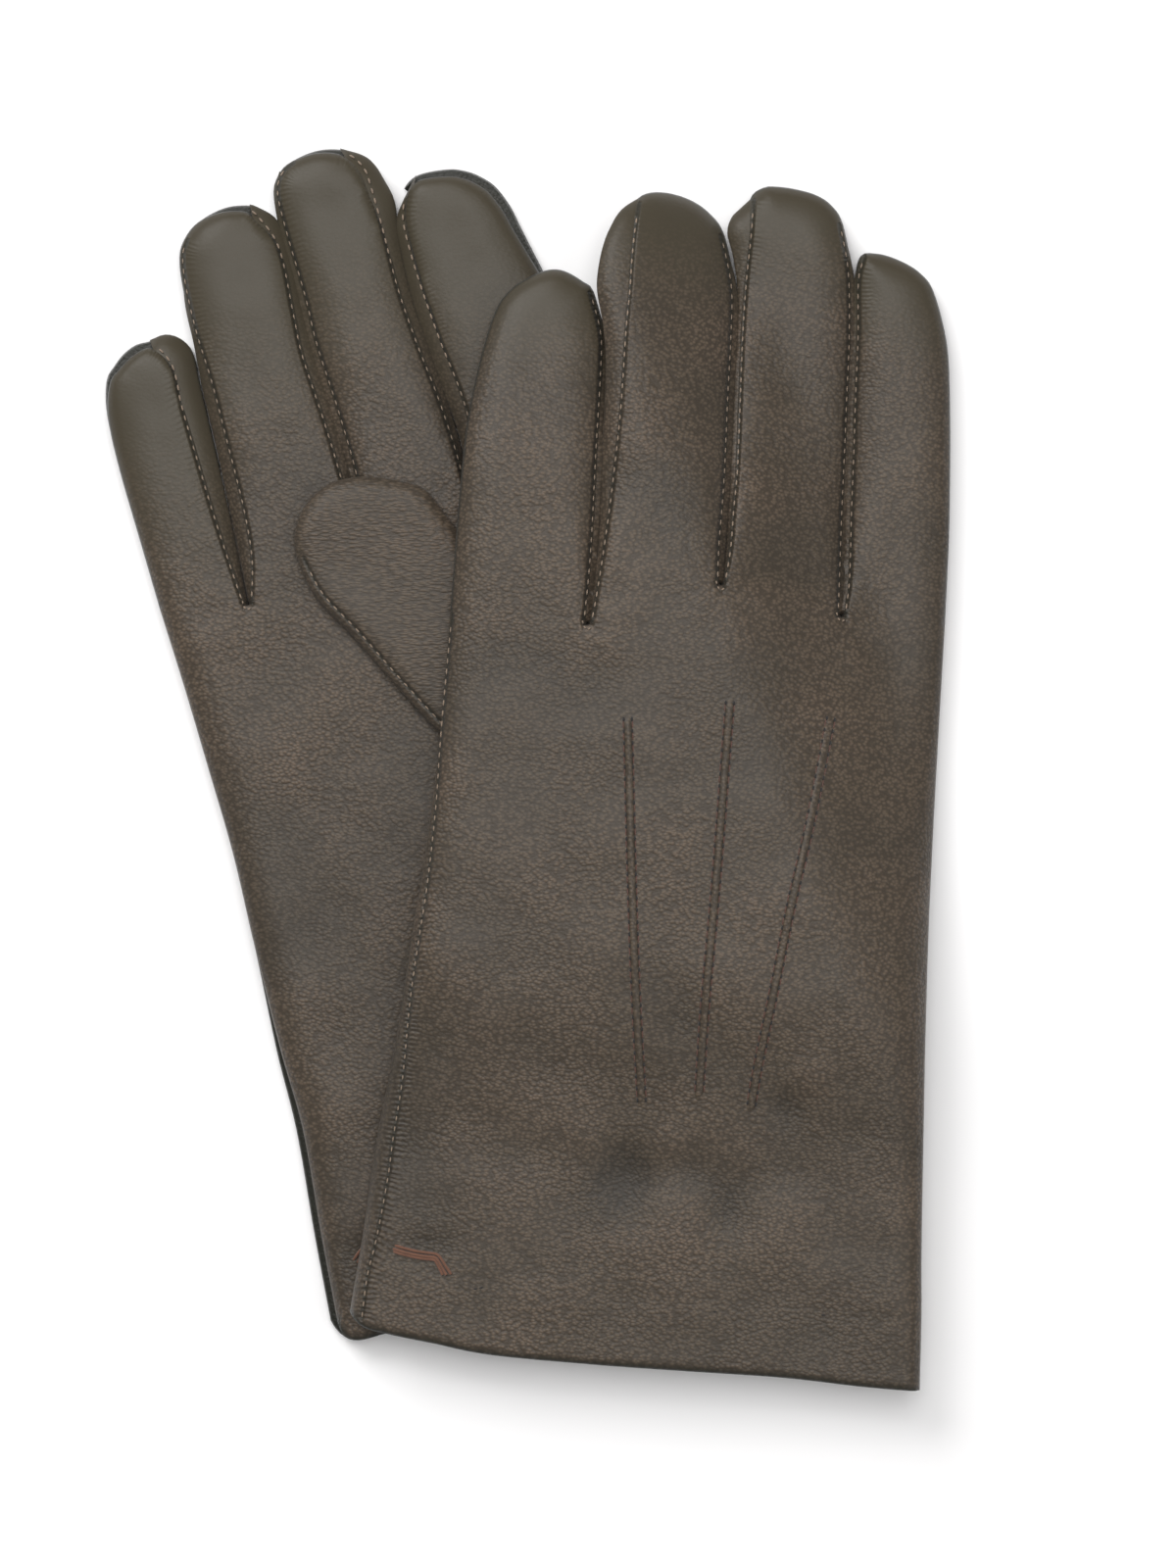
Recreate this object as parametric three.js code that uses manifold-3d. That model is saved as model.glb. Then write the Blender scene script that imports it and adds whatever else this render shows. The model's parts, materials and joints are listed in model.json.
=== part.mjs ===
// A pair of lined leather dress gloves, tacked together at the cuff and fanned on a table.
// The right glove lies palm up with its thumb folded over the palm. The left glove lies on it, back up,
// with its thumb folded underneath. Millimetres, +Z up, +Y towards the fingertips.
import * as THREE from 'three';
import { mergeVertices } from 'three/addons/utils/BufferGeometryUtils.js';
import Module from 'manifold-3d';

const wasm = await Module();
wasm.setup();

// Driving dimensions
const GLOVE_THICK = 8.4;        // a hand or finger lying flat
const THUMB_THICK = 4.6;        // a folded thumb, pressed flatter
const EDGE_ROUND = 3.4;         // radius of the rolled edge of a hand or finger
const THUMB_ROUND = 1.9;
const LEATHER = 0.8;
const LAYER_GAP = 0.35;         // air between two layers
const HEM_DEPTH = 14;
const LINING = 0.6;
const THREAD = 0.7;
const JOINT_GAP = 0.3;          // between two pieces that move on each other
const ROOT_LAP = 14;            // how far a finger's outline runs down into the hand
const ROOT_NARROW = 5;          // how much nearer the finger's middle each side ends there
const PLATEAU = 13.8;           // underside of the left glove over the right glove and the thumbs
const CUFF_LIFT = 8.8;          // underside of the left glove at its cuff
const THUMB_LIFT = 8.8;         // underside of a folded thumb
const VENT = 1.2;               // radius of the thumb's opening into the hand, and its place up the thumb
const VENT_UP = 12;
const FOURCHETTE_HIGH = 3.6;
const FOURCHETTE_REACH = 1.4;   // half width of the band that a fourchette is cut from

const SIDE_STEPS = 3;            // straight pieces in a finger's side
const TIP_STEPS = 3;             // and in each half of its round tip

const LEATHER_COLOUR = 0x5a5247;
const LINING_COLOUR = 0x2b2723;
const SEAM_COLOUR = 0xa8907a;
const POINT_COLOUR = 0x1e1a17;
const TACK_COLOUR = 0x7a4f3c;

// Outlines in plan. A finger's side runs from its root to the shoulder where its round tip starts.
const RIGHT = {
  side: 'right',
  tilt: 12,                     // degrees that its finger roots are turned from the X axis
  drape: false,
  cuff: [[-52.6, -116.8], [-41, -115.8], [69, -90]],
  leftEdge: [[-91.1, 37.3], [-80.7, 3.1], [-71, -34.2], [-65.6, -55.9], [-60.7, -72.5], [-56.9, -95.2]],
  top: [[12, 66], [-24.2, 59], [-47.3, 51], [-72, 38.4]],
  rightEdge: [],
  fingers: {
    little: {
      left: [[-91.1, 37.3], [-97.6, 62], [-102.8, 83]],
      tip: [-92.6, 95.2],
      right: [[-83.6, 86.5], [-78.9, 66.2], [-72.4, 39]],
      flexAt: 64.5, strips: ['right'],
    },
    ring: {
      left: [[-71.6, 39], [-79.2, 72.5], [-86.6, 111]],
      tip: [-74, 123.3],
      right: [[-66.9, 114], [-60.9, 90], [-48, 52]],
      flexAt: 77.5, strips: ['left', 'right'],
    },
    middle: {
      left: [[-46.6, 52], [-58.4, 92], [-66.4, 125]],
      tip: [-53.8, 135.2],
      right: [[-41.2, 123], [-35.4, 98], [-25, 60]],
      flexAt: 77.5, strips: ['left', 'right'],
    },
    index: {
      left: [[-23.5, 60], [-34.2, 98], [-40, 121]],
      tip: [-26, 130.6],
      right: [[-16.4, 123], [-5.5, 101], [12, 66]],
      flexAt: 113.6, strips: ['left'],
    },
  },
  thumb: {
    left: [[-33, 12], [-48, 31], [-61.8, 48]],
    tip: [-51, 65],
    right: [[-30, 57], [-16, 40], [-6, 26]],
    base: [-18, 10],
  },
};

const LEFT = {
  side: 'left',
  tilt: -6,
  drape: true,
  cuff: [[-50.1, -111.8], [-47.2, -114.3], [-33.1, -117.6], [0, -122.1], [41.4, -125], [70, -127.9]],
  leftEdge: [[-28.8, 37.3], [-31, 12.4], [-34.8, -18.6], [-40.4, -53.8], [-47.6, -95.2]],
  top: [[75.8, 34], [54.1, 36.5], [27.8, 42], [0.1, 34.5]],
  rightEdge: [[70.4, -99.4], [71.2, -53.8], [73.9, 0]],
  fingers: {
    little: {
      left: [[-28.8, 37.3], [-25.6, 73], [-20.8, 95]],
      tip: [-6.8, 108.5],
      right: [[3.2, 95], [2.4, 74], [-0.6, 36]],
      flexAt: 43, strips: ['right'],
    },
    ring: {
      left: [[0.8, 36], [6.4, 74], [4.4, 108]],
      tip: [17.2, 125],
      right: [[30.4, 108], [29.8, 80], [27, 43]],
      flexAt: 52, strips: ['left', 'right'],
    },
    middle: {
      left: [[28.4, 43], [31.6, 80], [32, 110]],
      tip: [41, 127],
      right: [[56, 110], [55.4, 80], [53.4, 38]],
      flexAt: 53, strips: ['left', 'right'],
    },
    index: {
      left: [[54.8, 38], [57, 80], [57.4, 106]],
      tip: [63, 112.5],
      right: [[76, 96], [77, 72], [75.9, 34]],
      flexAt: 50, strips: ['left'],
    },
  },
  thumb: {
    left: [[13, -24], [1.5, 10], [-8, 40]],
    tip: [2.5, 57],
    right: [[18, 46], [27, 12], [37, -16]],
    base: [28, -24],
  },
};

// The three points on the left glove's back, from the knuckles down to the wrist.
const POINTS = {
  point_ring: [[8.3, 14.5], [9.5, -20], [11.4, -68.7]],
  point_middle: [[29.6, 18.2], [26.2, -22], [23, -67.3]],
  point_index: [[51.3, 14.5], [42.4, -27], [34.2, -69.8]],
};
const POINT_WIDE = 1.8;
const POINT_HIGH = 0.8;

// The right glove's index-side edge, which the left glove drapes over: height lost past that edge.
const DRAPE_EDGE = [new THREE.Vector2(69, -90), new THREE.Vector2(1.5, 96)];
const DRAPE_FALL = [[2, 0], [12, 2.6], [26, 10.2], [38, 13.5]];
// Height gained along the left glove from its cuff to its thumb, and lost towards the little fingertip.
const CUFF_RAMP = [[-80, CUFF_LIFT - PLATEAU], [-36, 0]];
const LITTLE_RAMP = [[62, 0], [102, CUFF_LIFT - PLATEAU]];

const TACK = new THREE.Vector3(-49, -99, GLOVE_THICK);

const axisOf = (glove) => {
  const turn = THREE.MathUtils.degToRad(glove.tilt);
  return new THREE.Vector2(-Math.sin(turn), Math.cos(turn));
};
const points2 = (list) => list.map(([x, y]) => new THREE.Vector2(x, y));

// Solids: a closed geometry to and from a manifold
function solid(geometry) {
  geometry.deleteAttribute('normal');
  geometry.deleteAttribute('uv');
  const merged = mergeVertices(geometry, 1e-4);
  return new wasm.Manifold(new wasm.Mesh({
    numProp: 3,
    vertProperties: new Float32Array(merged.attributes.position.array),
    triVerts: new Uint32Array(merged.index.array),
  }));
}

function toGeometry(body) {
  const mesh = body.getMesh();
  const geometry = new THREE.BufferGeometry();
  geometry.setAttribute('position', new THREE.BufferAttribute(mesh.vertProperties, 3));
  geometry.setIndex(new THREE.BufferAttribute(mesh.triVerts, 1));
  return geometry;
}

// A flat form with rolled edges, set in from its outline by a whole number of layers
function pillow(outline, inset, thick, round, bottom = 0) {
  const roll = round - inset;
  const geometry = new THREE.ExtrudeGeometry(new THREE.Shape(outline), {
    depth: thick - 2 * (inset + roll),
    bevelThickness: roll,
    bevelSize: roll,
    bevelOffset: -roll - inset,
    bevelSegments: inset > 0 ? 1 : 2,
  });
  geometry.translate(0, 0, bottom + inset + roll);
  return solid(geometry);
}

function slab(outline, bottom, high) {
  const geometry = new THREE.ExtrudeGeometry(new THREE.Shape(outline), { depth: high, bevelEnabled: false });
  geometry.translate(0, 0, bottom);
  return solid(geometry);
}

// Everything past a line square to the glove's length, or above its cuff, as a cutting block
function beyond(glove, distance) {
  const reach = 400;
  const block = new THREE.BoxGeometry(reach, reach, reach);
  const axis = axisOf(glove);
  block.rotateZ(THREE.MathUtils.degToRad(glove.tilt));
  block.translate(axis.x * (distance + reach / 2), axis.y * (distance + reach / 2), 0);
  return solid(block);
}

function aboveCuff(glove, distance) {
  const axis = axisOf(glove);
  const cuff = points2(glove.cuff).map((p) => p.addScaledVector(axis, distance));
  const along = cuff.at(-1).clone().sub(cuff[0]).normalize();
  const start = cuff[0].clone().addScaledVector(along, -60);
  const end = cuff.at(-1).clone().addScaledVector(along, 60);
  const farEnd = end.clone().addScaledVector(axis, 400);
  const farStart = start.clone().addScaledVector(axis, 400);
  return slab([start, ...cuff, end, farEnd, farStart], -40, 80);
}

function sideCurve(points) {
  return new THREE.SplineCurve(points2(points)).getPoints(SIDE_STEPS);
}

// Quarter of an oval from a shoulder to the tip
function shoulderCurve(shoulder, tip, axis) {
  const rise = tip.clone().sub(shoulder).dot(axis);
  const corner = shoulder.clone().addScaledVector(axis, rise);
  const fullness = 0.55;
  const first = shoulder.clone().lerp(corner, fullness);
  const second = tip.clone().lerp(corner, fullness);
  return new THREE.CubicBezierCurve(shoulder, first, second, tip);
}

function fingerOutline(finger, axis) {
  const left = sideCurve(finger.left);
  const right = sideCurve(finger.right);
  const tip = new THREE.Vector2(...finger.tip);
  const toTip = shoulderCurve(left.at(-1), tip, axis).getPoints(TIP_STEPS).slice(1);
  const fromTip = shoulderCurve(right[0], tip, axis).getPoints(TIP_STEPS).reverse().slice(1, -1);
  const inward = right.at(-1).clone().sub(left[0]).normalize().multiplyScalar(ROOT_NARROW);
  const root = [left[0].clone().add(inward), right.at(-1).clone().sub(inward)];
  root.forEach((p) => p.addScaledVector(axis, -ROOT_LAP));
  return [root[0], ...left, ...toTip, ...fromTip, ...right, root[1]].reverse();
}

function thumbOutline(thumb) {
  const tip = new THREE.Vector2(...thumb.tip);
  const base = new THREE.Vector2(...thumb.base);
  const axis = tip.clone().sub(base).normalize();
  const left = sideCurve(thumb.left);
  const right = sideCurve(thumb.right);
  const toTip = shoulderCurve(left.at(-1), tip, axis).getPoints(TIP_STEPS).slice(1);
  const fromTip = shoulderCurve(right[0], tip, axis).getPoints(TIP_STEPS).reverse().slice(1, -1);
  const down = axis.clone().negate();
  const foot = shoulderCurve(right.at(-1), base, down).getPoints(TIP_STEPS).slice(1);
  const back = shoulderCurve(left[0], base, down).getPoints(TIP_STEPS).reverse().slice(1, -1);
  return [...left, ...toTip, ...fromTip, ...right, ...foot, ...back].reverse();
}

function handOutline(glove) {
  const axis = axisOf(glove);
  const corners = points2([glove.cuff[0], glove.cuff.at(-1)]);
  const past = corners.map((p) => p.addScaledVector(axis, -HEM_DEPTH));
  return [...points2(glove.leftEdge).reverse(), ...points2(glove.top).reverse(),
    ...points2(glove.rightEdge).reverse(), past[1], past[0]].reverse();
}

// A band that follows one side of a finger, as wide as a fourchette's reach
function sideBand(finger, side, high, extra) {
  const curve = sideCurve(finger[side]);
  const run = side === 'left' ? curve : curve.slice().reverse();
  const end = run.at(-1);
  const last = end.clone().sub(run.at(-2)).normalize();
  run.push(end.clone().addScaledVector(last, extra));
  const across = run.map((p, i) => {
    const next = run[Math.min(i + 1, run.length - 1)];
    const before = run[Math.max(i - 1, 0)];
    const along = next.clone().sub(before).normalize();
    return new THREE.Vector2(-along.y, along.x).multiplyScalar(FOURCHETTE_REACH);
  });
  const one = run.map((p, i) => p.clone().add(across[i]));
  const other = run.map((p, i) => p.clone().sub(across[i])).reverse();
  return slab([...one, ...other].reverse(), (GLOVE_THICK - high) / 2, high);
}

// Drape: piecewise straight, so that layers which lie together stay together
function ramp(knots, at) {
  if (at <= knots[0][0]) {
    return knots[0][1];
  }
  for (let i = 1; i < knots.length; i += 1) {
    const [from, low] = knots[i - 1];
    const [to, high] = knots[i];
    if (at <= to) {
      return low + ((high - low) * (at - from)) / (to - from);
    }
  }
  return knots.at(-1)[1];
}

const edgeAlong = DRAPE_EDGE[1].clone().sub(DRAPE_EDGE[0]).normalize();
const edgeAcross = new THREE.Vector2(edgeAlong.y, -edgeAlong.x);
const pastEdge = (x, y) => new THREE.Vector2(x, y).sub(DRAPE_EDGE[0]).dot(edgeAcross);
const alongLeft = (x, y) => new THREE.Vector2(x, y).dot(axisOf(LEFT));

function drapeHeight(x, y, littleFinger) {
  const lengthways = ramp(CUFF_RAMP, alongLeft(x, y)) + (littleFinger ? ramp(LITTLE_RAMP, alongLeft(x, y)) : 0);
  return PLATEAU + lengthways - ramp(DRAPE_FALL, pastEdge(x, y));
}

// Cuts every triangle that crosses the line where measure(x, y) equals at
function crease(mesh, measure, at) {
  const { vertices, triangles } = mesh;
  const value = vertices.map(([x, y]) => {
    const off = measure(x, y) - at;
    return Math.abs(off) < 1e-4 ? 0 : off;
  });
  const cuts = new Map();
  const cutPoint = (a, b) => {
    const [low, high] = a < b ? [a, b] : [b, a];
    const key = `${low}_${high}`;
    if (!cuts.has(key)) {
      const share = value[low] / (value[low] - value[high]);
      cuts.set(key, vertices.length);
      vertices.push(vertices[low].map((c, i) => c + (vertices[high][i] - c) * share));
      value.push(0);
    }
    return cuts.get(key);
  };
  const done = [];
  for (const triangle of triangles) {
    for (const sign of [1, -1]) {
      const part = [];
      for (let i = 0; i < 3; i += 1) {
        const a = triangle[i];
        const b = triangle[(i + 1) % 3];
        if (value[a] * sign >= 0) {
          part.push(a);
        }
        if (value[a] * value[b] < 0) {
          part.push(cutPoint(a, b));
        }
      }
      const flat = part.every((v) => value[v] === 0);
      for (let i = 2; i < part.length && !(flat && sign < 0); i += 1) {
        done.push([part[0], part[i - 1], part[i]]);
      }
    }
  }
  mesh.triangles = done;
}

function draped(geometry, littleFinger = false) {
  const place = geometry.attributes.position;
  const mesh = { vertices: [], triangles: [] };
  for (let i = 0; i < place.count; i += 1) {
    mesh.vertices.push([place.getX(i), place.getY(i), place.getZ(i)]);
  }
  for (let i = 0; i < geometry.index.count; i += 3) {
    mesh.triangles.push([0, 1, 2].map((k) => geometry.index.getX(i + k)));
  }
  DRAPE_FALL.forEach(([at]) => crease(mesh, pastEdge, at));
  CUFF_RAMP.forEach(([at]) => crease(mesh, alongLeft, at));
  if (littleFinger) {
    LITTLE_RAMP.forEach(([at]) => crease(mesh, alongLeft, at));
  }
  const lifted = mesh.vertices.map(([x, y, z]) => [x, y, z + drapeHeight(x, y, littleFinger)]);
  const result = new THREE.BufferGeometry();
  result.setAttribute('position', new THREE.Float32BufferAttribute(lifted.flat(), 3));
  result.setIndex(mesh.triangles.flat());
  return result;
}

function threadAlong(points, closed = false) {
  const path = new THREE.CatmullRomCurve3(points, closed, 'centripetal');
  const section = new THREE.Shape();
  section.absarc(0, 0, THREAD / 2, 0, Math.PI * 2);
  const geometry = new THREE.ExtrudeGeometry(section, {
    extrudePath: path, steps: points.length * 2, curveSegments: 3, bevelEnabled: false,
  });
  return toGeometry(solid(geometry));
}

const group = new THREE.Group();

function add(name, geometry, colour, roughness = 0.6) {
  const material = new THREE.MeshStandardMaterial({ color: colour, roughness, metalness: 0 });
  const mesh = new THREE.Mesh(geometry, material);
  mesh.name = name;
  group.add(mesh);
}

function makeGlove(glove) {
  const { side } = glove;
  const axis = axisOf(glove);
  const liningInset = LEATHER + LAYER_GAP;
  const settle = (body, little) => (glove.drape ? draped(toGeometry(body), little) : toGeometry(body));
  const hand = handOutline(glove);
  const form = (outline, inset) => pillow(outline, inset, GLOVE_THICK, EDGE_ROUND);
  let handOuter = form(hand, 0);
  let handHollow = form(hand, LEATHER);
  let bag = form(hand, liningInset);

  Object.entries(glove.fingers).forEach(([name, finger]) => {
    const outline = fingerOutline(finger, axis);
    const past = beyond(glove, finger.flexAt + JOINT_GAP / 2);
    const stub = beyond(glove, finger.flexAt - JOINT_GAP / 2);
    const outer = form(outline, 0);
    const hollow = form(outline, LEATHER);
    const filling = form(outline, liningInset);
    let stall = outer.subtract(hollow).intersect(past);
    finger.strips.forEach((edge) => {
      const strip = stall.intersect(sideBand(finger, edge, FOURCHETTE_HIGH, 0));
      const clear = beyond(glove, finger.flexAt + 3 * JOINT_GAP);
      const label = finger.strips.length > 1 ? `_${edge === 'left' ? 'outer' : 'inner'}` : '';
      add(`${side}_${name}_fourchette${label}`, settle(strip.intersect(clear), name === 'little'),
        LEATHER_COLOUR);
      stall = stall.subtract(sideBand(finger, edge, FOURCHETTE_HIGH + 2 * JOINT_GAP, JOINT_GAP));
    });
    add(`${side}_${name}_stall`, settle(stall, name === 'little'), LEATHER_COLOUR);
    add(`${side}_${name}_lining`, settle(filling.intersect(past), name === 'little'), LINING_COLOUR, 0.95);
    handOuter = handOuter.add(outer.subtract(stub));
    handHollow = handHollow.add(hollow.subtract(stub.translate(axis.x, axis.y, 0)));
    bag = bag.add(filling.subtract(stub));
  });

  const aboveEdge = aboveCuff(glove, 0);
  const aboveHem = aboveCuff(glove, HEM_DEPTH);
  const aboveHemGap = aboveCuff(glove, HEM_DEPTH + JOINT_GAP);
  const hemRing = form(hand, liningInset).subtract(form(hand, liningInset + LEATHER));
  add(`${side}_hand_trank`, settle(handOuter.subtract(handHollow).intersect(aboveEdge)), LEATHER_COLOUR);
  add(`${side}_hem`, settle(hemRing.intersect(aboveEdge).subtract(aboveHem)), LEATHER_COLOUR);
  add(`${side}_hand_lining`, settle(bag.subtract(form(hand, liningInset + LINING)).intersect(aboveHemGap)),
    LINING_COLOUR, 0.95);

  const thumb = thumbOutline(glove.thumb);
  const thumbForm = (inset) => pillow(thumb, inset, THUMB_THICK, THUMB_ROUND, THUMB_LIFT);
  const vent = new THREE.CylinderGeometry(VENT, VENT, THUMB_THICK, 8).rotateX(Math.PI / 2);
  vent.translate(glove.thumb.base[0], glove.thumb.base[1] + VENT_UP, THUMB_LIFT);
  add(`${side}_thumb`, toGeometry(thumbForm(0).subtract(thumbForm(LEATHER)).subtract(solid(vent))),
    LEATHER_COLOUR);
  add(`${side}_thumb_lining`, toGeometry(thumbForm(liningInset)), LINING_COLOUR, 0.95);

  const seamOut = THREAD / 2 + JOINT_GAP + 0.2;
  const seam = (points, high) => threadAlong(points.map(([x, y]) => new THREE.Vector3(x - seamOut, y, high)));
  const edge = [...glove.leftEdge.slice(1), glove.cuff[0]];
  const sideThread = seam(edge, GLOVE_THICK / 2);
  add(`${side}_side_seam_thread`, glove.drape ? draped(sideThread) : sideThread, SEAM_COLOUR, 0.8);
  const thumbThread = seam(glove.thumb.left.map(([x, y]) => [x - 0.3, y - 0.5]), THUMB_LIFT + THUMB_THICK / 2);
  add(`${side}_thumb_seam_thread`, thumbThread, SEAM_COLOUR, 0.8);
}

function makePoints() {
  Object.entries(POINTS).forEach(([name, run]) => {
    const path = new THREE.SplineCurve(points2(run)).getPoints(5);
    const half = POINT_WIDE / 2;
    const outline = [...path.map((p) => new THREE.Vector2(p.x - half, p.y)),
      ...path.slice().reverse().map((p) => new THREE.Vector2(p.x + half, p.y))];
    const rib = slab(outline, GLOVE_THICK + JOINT_GAP, POINT_HIGH);
    add(`left_${name}`, draped(toGeometry(rib)), POINT_COLOUR);
  });
}

// The tack: a knot on the right glove, and a loop that goes round the left glove's edge
function makeTack() {
  const knot = new THREE.SphereGeometry(1, 8, 6).scale(1.6, 1, 0.5);
  knot.translate(TACK.x - 4.6, TACK.y, TACK.z + 1);
  add('tack_knot', toGeometry(solid(knot)), TACK_COLOUR, 0.8);
  const below = CUFF_LIFT + THREAD / 2 + JOINT_GAP;
  const above = CUFF_LIFT + GLOVE_THICK + THREAD / 2 + JOINT_GAP;
  const route = [[-50.4, -99, below - 0.3], [-51.2, -99, below + 2], [-51.2, -99, above - 3],
    [-49, -99, above + 0.2], [-41, -99.2, above + 0.3], [-31, -99.6, above + 0.2], [-29, -103, above + 0.2]];
  add('tack_loop', threadAlong(route.map((p) => new THREE.Vector3(...p))), TACK_COLOUR, 0.8);
}

makeGlove(RIGHT);
makeGlove(LEFT);
makePoints();
makeTack();

// The origin goes to the middle of the footprint, on the surface that the gloves lie on.
const box = new THREE.Box3().setFromObject(group);
const middle = box.getCenter(new THREE.Vector3());
group.position.set(-middle.x, -middle.y, -box.min.z);
group.updateMatrixWorld(true);

export default group;
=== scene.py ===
import json
import math

import bpy
import numpy as np
from bpy.props import FloatProperty, FloatVectorProperty, PointerProperty
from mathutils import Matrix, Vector, geometry


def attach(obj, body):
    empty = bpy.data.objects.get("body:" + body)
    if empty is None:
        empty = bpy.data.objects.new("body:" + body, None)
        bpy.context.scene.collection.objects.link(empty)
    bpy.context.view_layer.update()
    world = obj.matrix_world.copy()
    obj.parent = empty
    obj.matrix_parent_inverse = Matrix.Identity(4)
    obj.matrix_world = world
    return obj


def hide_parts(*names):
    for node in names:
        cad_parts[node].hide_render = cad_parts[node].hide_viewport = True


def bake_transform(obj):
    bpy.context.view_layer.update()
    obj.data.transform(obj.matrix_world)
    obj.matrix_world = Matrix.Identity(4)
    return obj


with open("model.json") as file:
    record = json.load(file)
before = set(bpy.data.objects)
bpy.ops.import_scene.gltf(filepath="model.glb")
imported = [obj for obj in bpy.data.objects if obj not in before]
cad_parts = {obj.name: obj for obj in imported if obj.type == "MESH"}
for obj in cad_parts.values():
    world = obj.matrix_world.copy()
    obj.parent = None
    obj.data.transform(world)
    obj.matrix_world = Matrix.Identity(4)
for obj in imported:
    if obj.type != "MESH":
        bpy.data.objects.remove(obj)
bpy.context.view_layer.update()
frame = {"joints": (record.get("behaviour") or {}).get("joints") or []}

bl_info = {
    "name": "Pair of leather dress gloves",
    "version": (1, 0, 0),
    "blender": (4, 5, 0),
    "location": "3D View > Sidebar > Gloves",
    "description": "Sews a pair of lined nappa gloves, fanned and tacked together at the cuff",
    "category": "Object",
}

MM = 0.001

# The gloves are drawn flat in millimetres about a point on the table. The tack's pivot ties that plan to the frame.
TACK_AT = (-51.5, -99.0)
TACK_JOINT = next(j for j in frame["joints"] if j["name"] == "fan_open")
SHIFT = np.array([TACK_JOINT["pos_m"][0] / MM - TACK_AT[0], TACK_JOINT["pos_m"][1] / MM - TACK_AT[1]])

FINGERS = ("little", "ring", "middle", "index")

# Outlines in plan. A finger's sides run from its root to its round tip.
# edge is where the top panel of leather ends, and skirt is where the side wall behind it shows past that.
RIGHT = {
    "side": "right",
    "tilt": 12,
    "cuff": [(-53.4, -113.9), (-51.6, -117.2), (-48.6, -118), (-44.5, -117), (-41.4, -116.2), (14, -103), (69, -90)],
    "left": [(-53.4, -113.9), (-56.9, -95.2), (-60.7, -73.5), (-65.6, -55.9), (-71, -34.2), (-75.6, -14.5),
             (-80.7, 3.1),
             (-85.9, 20.7), (-91.1, 37.3)],
    "right": [(69, -90), (40, -10), (12, 66)],
    "crotches": [(-91.1, 37.3), (-72.2, 38.2), (-47.5, 51), (-24.2, 59), (12, 66)],
    "little": {
        "left": [(-95.6, 52.8), (-99.8, 67.3), (-102.5, 78.7), (-102.6, 85.9)],
        "tip": [(-101, 89), (-98.9, 91.7), (-96.3, 93.6), (-93.2, 94.4), (-90, 92.6)],
        "right": [(-74.7, 45.5), (-78.8, 58), (-82.5, 70.4), (-85.4, 80.7), (-86.2, 85), (-87.4, 89.2)],
        "skirt_right": [(-74.5, 49.7), (-78.2, 66.2), (-81.1, 78.7), (-82.8, 85.9), (-84.2, 92), (-86.8, 94.8),
                        (-90, 95.6)],
        "flex": 64.5,
    },
    "ring": {
        "left": [(-72.1, 47.6), (-73.8, 58), (-77.4, 72.5), (-80.6, 84.9), (-84.1, 96.3), (-86.4, 106.6)],
        "tip": [(-86.9, 112.5), (-85.9, 115.9), (-83.8, 119), (-80.7, 121.3), (-76.6, 123), (-72, 123.3),
                (-69, 120.6)],
        "right": [(-51.2, 64), (-55, 76.6), (-59.8, 91.1), (-61.6, 99.4), (-64.7, 113.9)],
        "skirt_left": [(-73.3, 43.5), (-76.2, 58), (-79.3, 72.5), (-81.8, 82.8), (-83.8, 93.2), (-85.9, 103.5)],
        "skirt_right": [(-49.2, 63), (-53.7, 78), (-57.8, 91), (-60.2, 100), (-62.8, 111), (-65.8, 119.5),
                        (-70, 122.6)],
        "flex": 77.5,
    },
    "middle": {
        "left": [(-49.6, 64), (-53.7, 78.7), (-58.4, 93.2), (-60.9, 103.5), (-65.1, 118), (-66.8, 126)],
        "tip": [(-65.6, 130.3), (-63.1, 132.7), (-58, 134.9), (-52.8, 135.2), (-49.3, 133.8)],
        "right": [(-27.1, 70.4), (-31.2, 82.8), (-35.3, 93.2), (-39.6, 105.6), (-42.7, 118), (-45.3, 127.3),
                  (-46.6, 130.8)],
        "skirt_right": [(-26.6, 70.4), (-30.3, 82.8), (-33.8, 93), (-37, 102), (-39, 110), (-40.4, 118),
                        (-41.2, 124.2),
                        (-43.5, 128.8), (-45.5, 131.9), (-48, 133.8)],
        "flex": 77.5,
    },
    "index": {
        "left": [(-25.7, 74.5), (-27.8, 82.8), (-32, 93.2), (-35.7, 103.5), (-38.6, 112.8), (-40.2, 120.1)],
        "tip": [(-39.6, 126), (-36.6, 129.6), (-30, 131), (-25.9, 130.6), (-22.8, 129.4), (-19.7, 127.3),
                (-16.6, 123.2)],
        "right": [(3, 84), (-5.5, 101), (-8.7, 107.6), (-12.4, 114.9), (-14.5, 119)],
        "skirt_left": [(-27.6, 74.5), (-30.6, 82.8), (-34.3, 93.2), (-37.6, 103.5), (-39.8, 112.8), (-40.8, 120.1)],
        "flex": 113.6,
    },
    "thumb": [(-24, 6), (-28.5, 8.6), (-33.1, 12.4), (-41.4, 21.7), (-49.7, 31.1), (-57.5, 39.3), (-61.5, 47.6),
              (-62.1, 52.8),
              (-60.4, 58), (-56.9, 62.1), (-52.8, 64.2), (-46.6, 65), (-39.3, 64), (-34.2, 62.1), (-28.4, 54.9),
              (-21, 46),
              (-12, 33), (-6.5, 22), (-9, 12), (-16, 6)],
    "thumb_seam": [(-28.6, 10.6), (-32, 14), (-40.3, 23), (-48.6, 32.4), (-56, 40.2), (-60.1, 47.8)],
}

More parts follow.
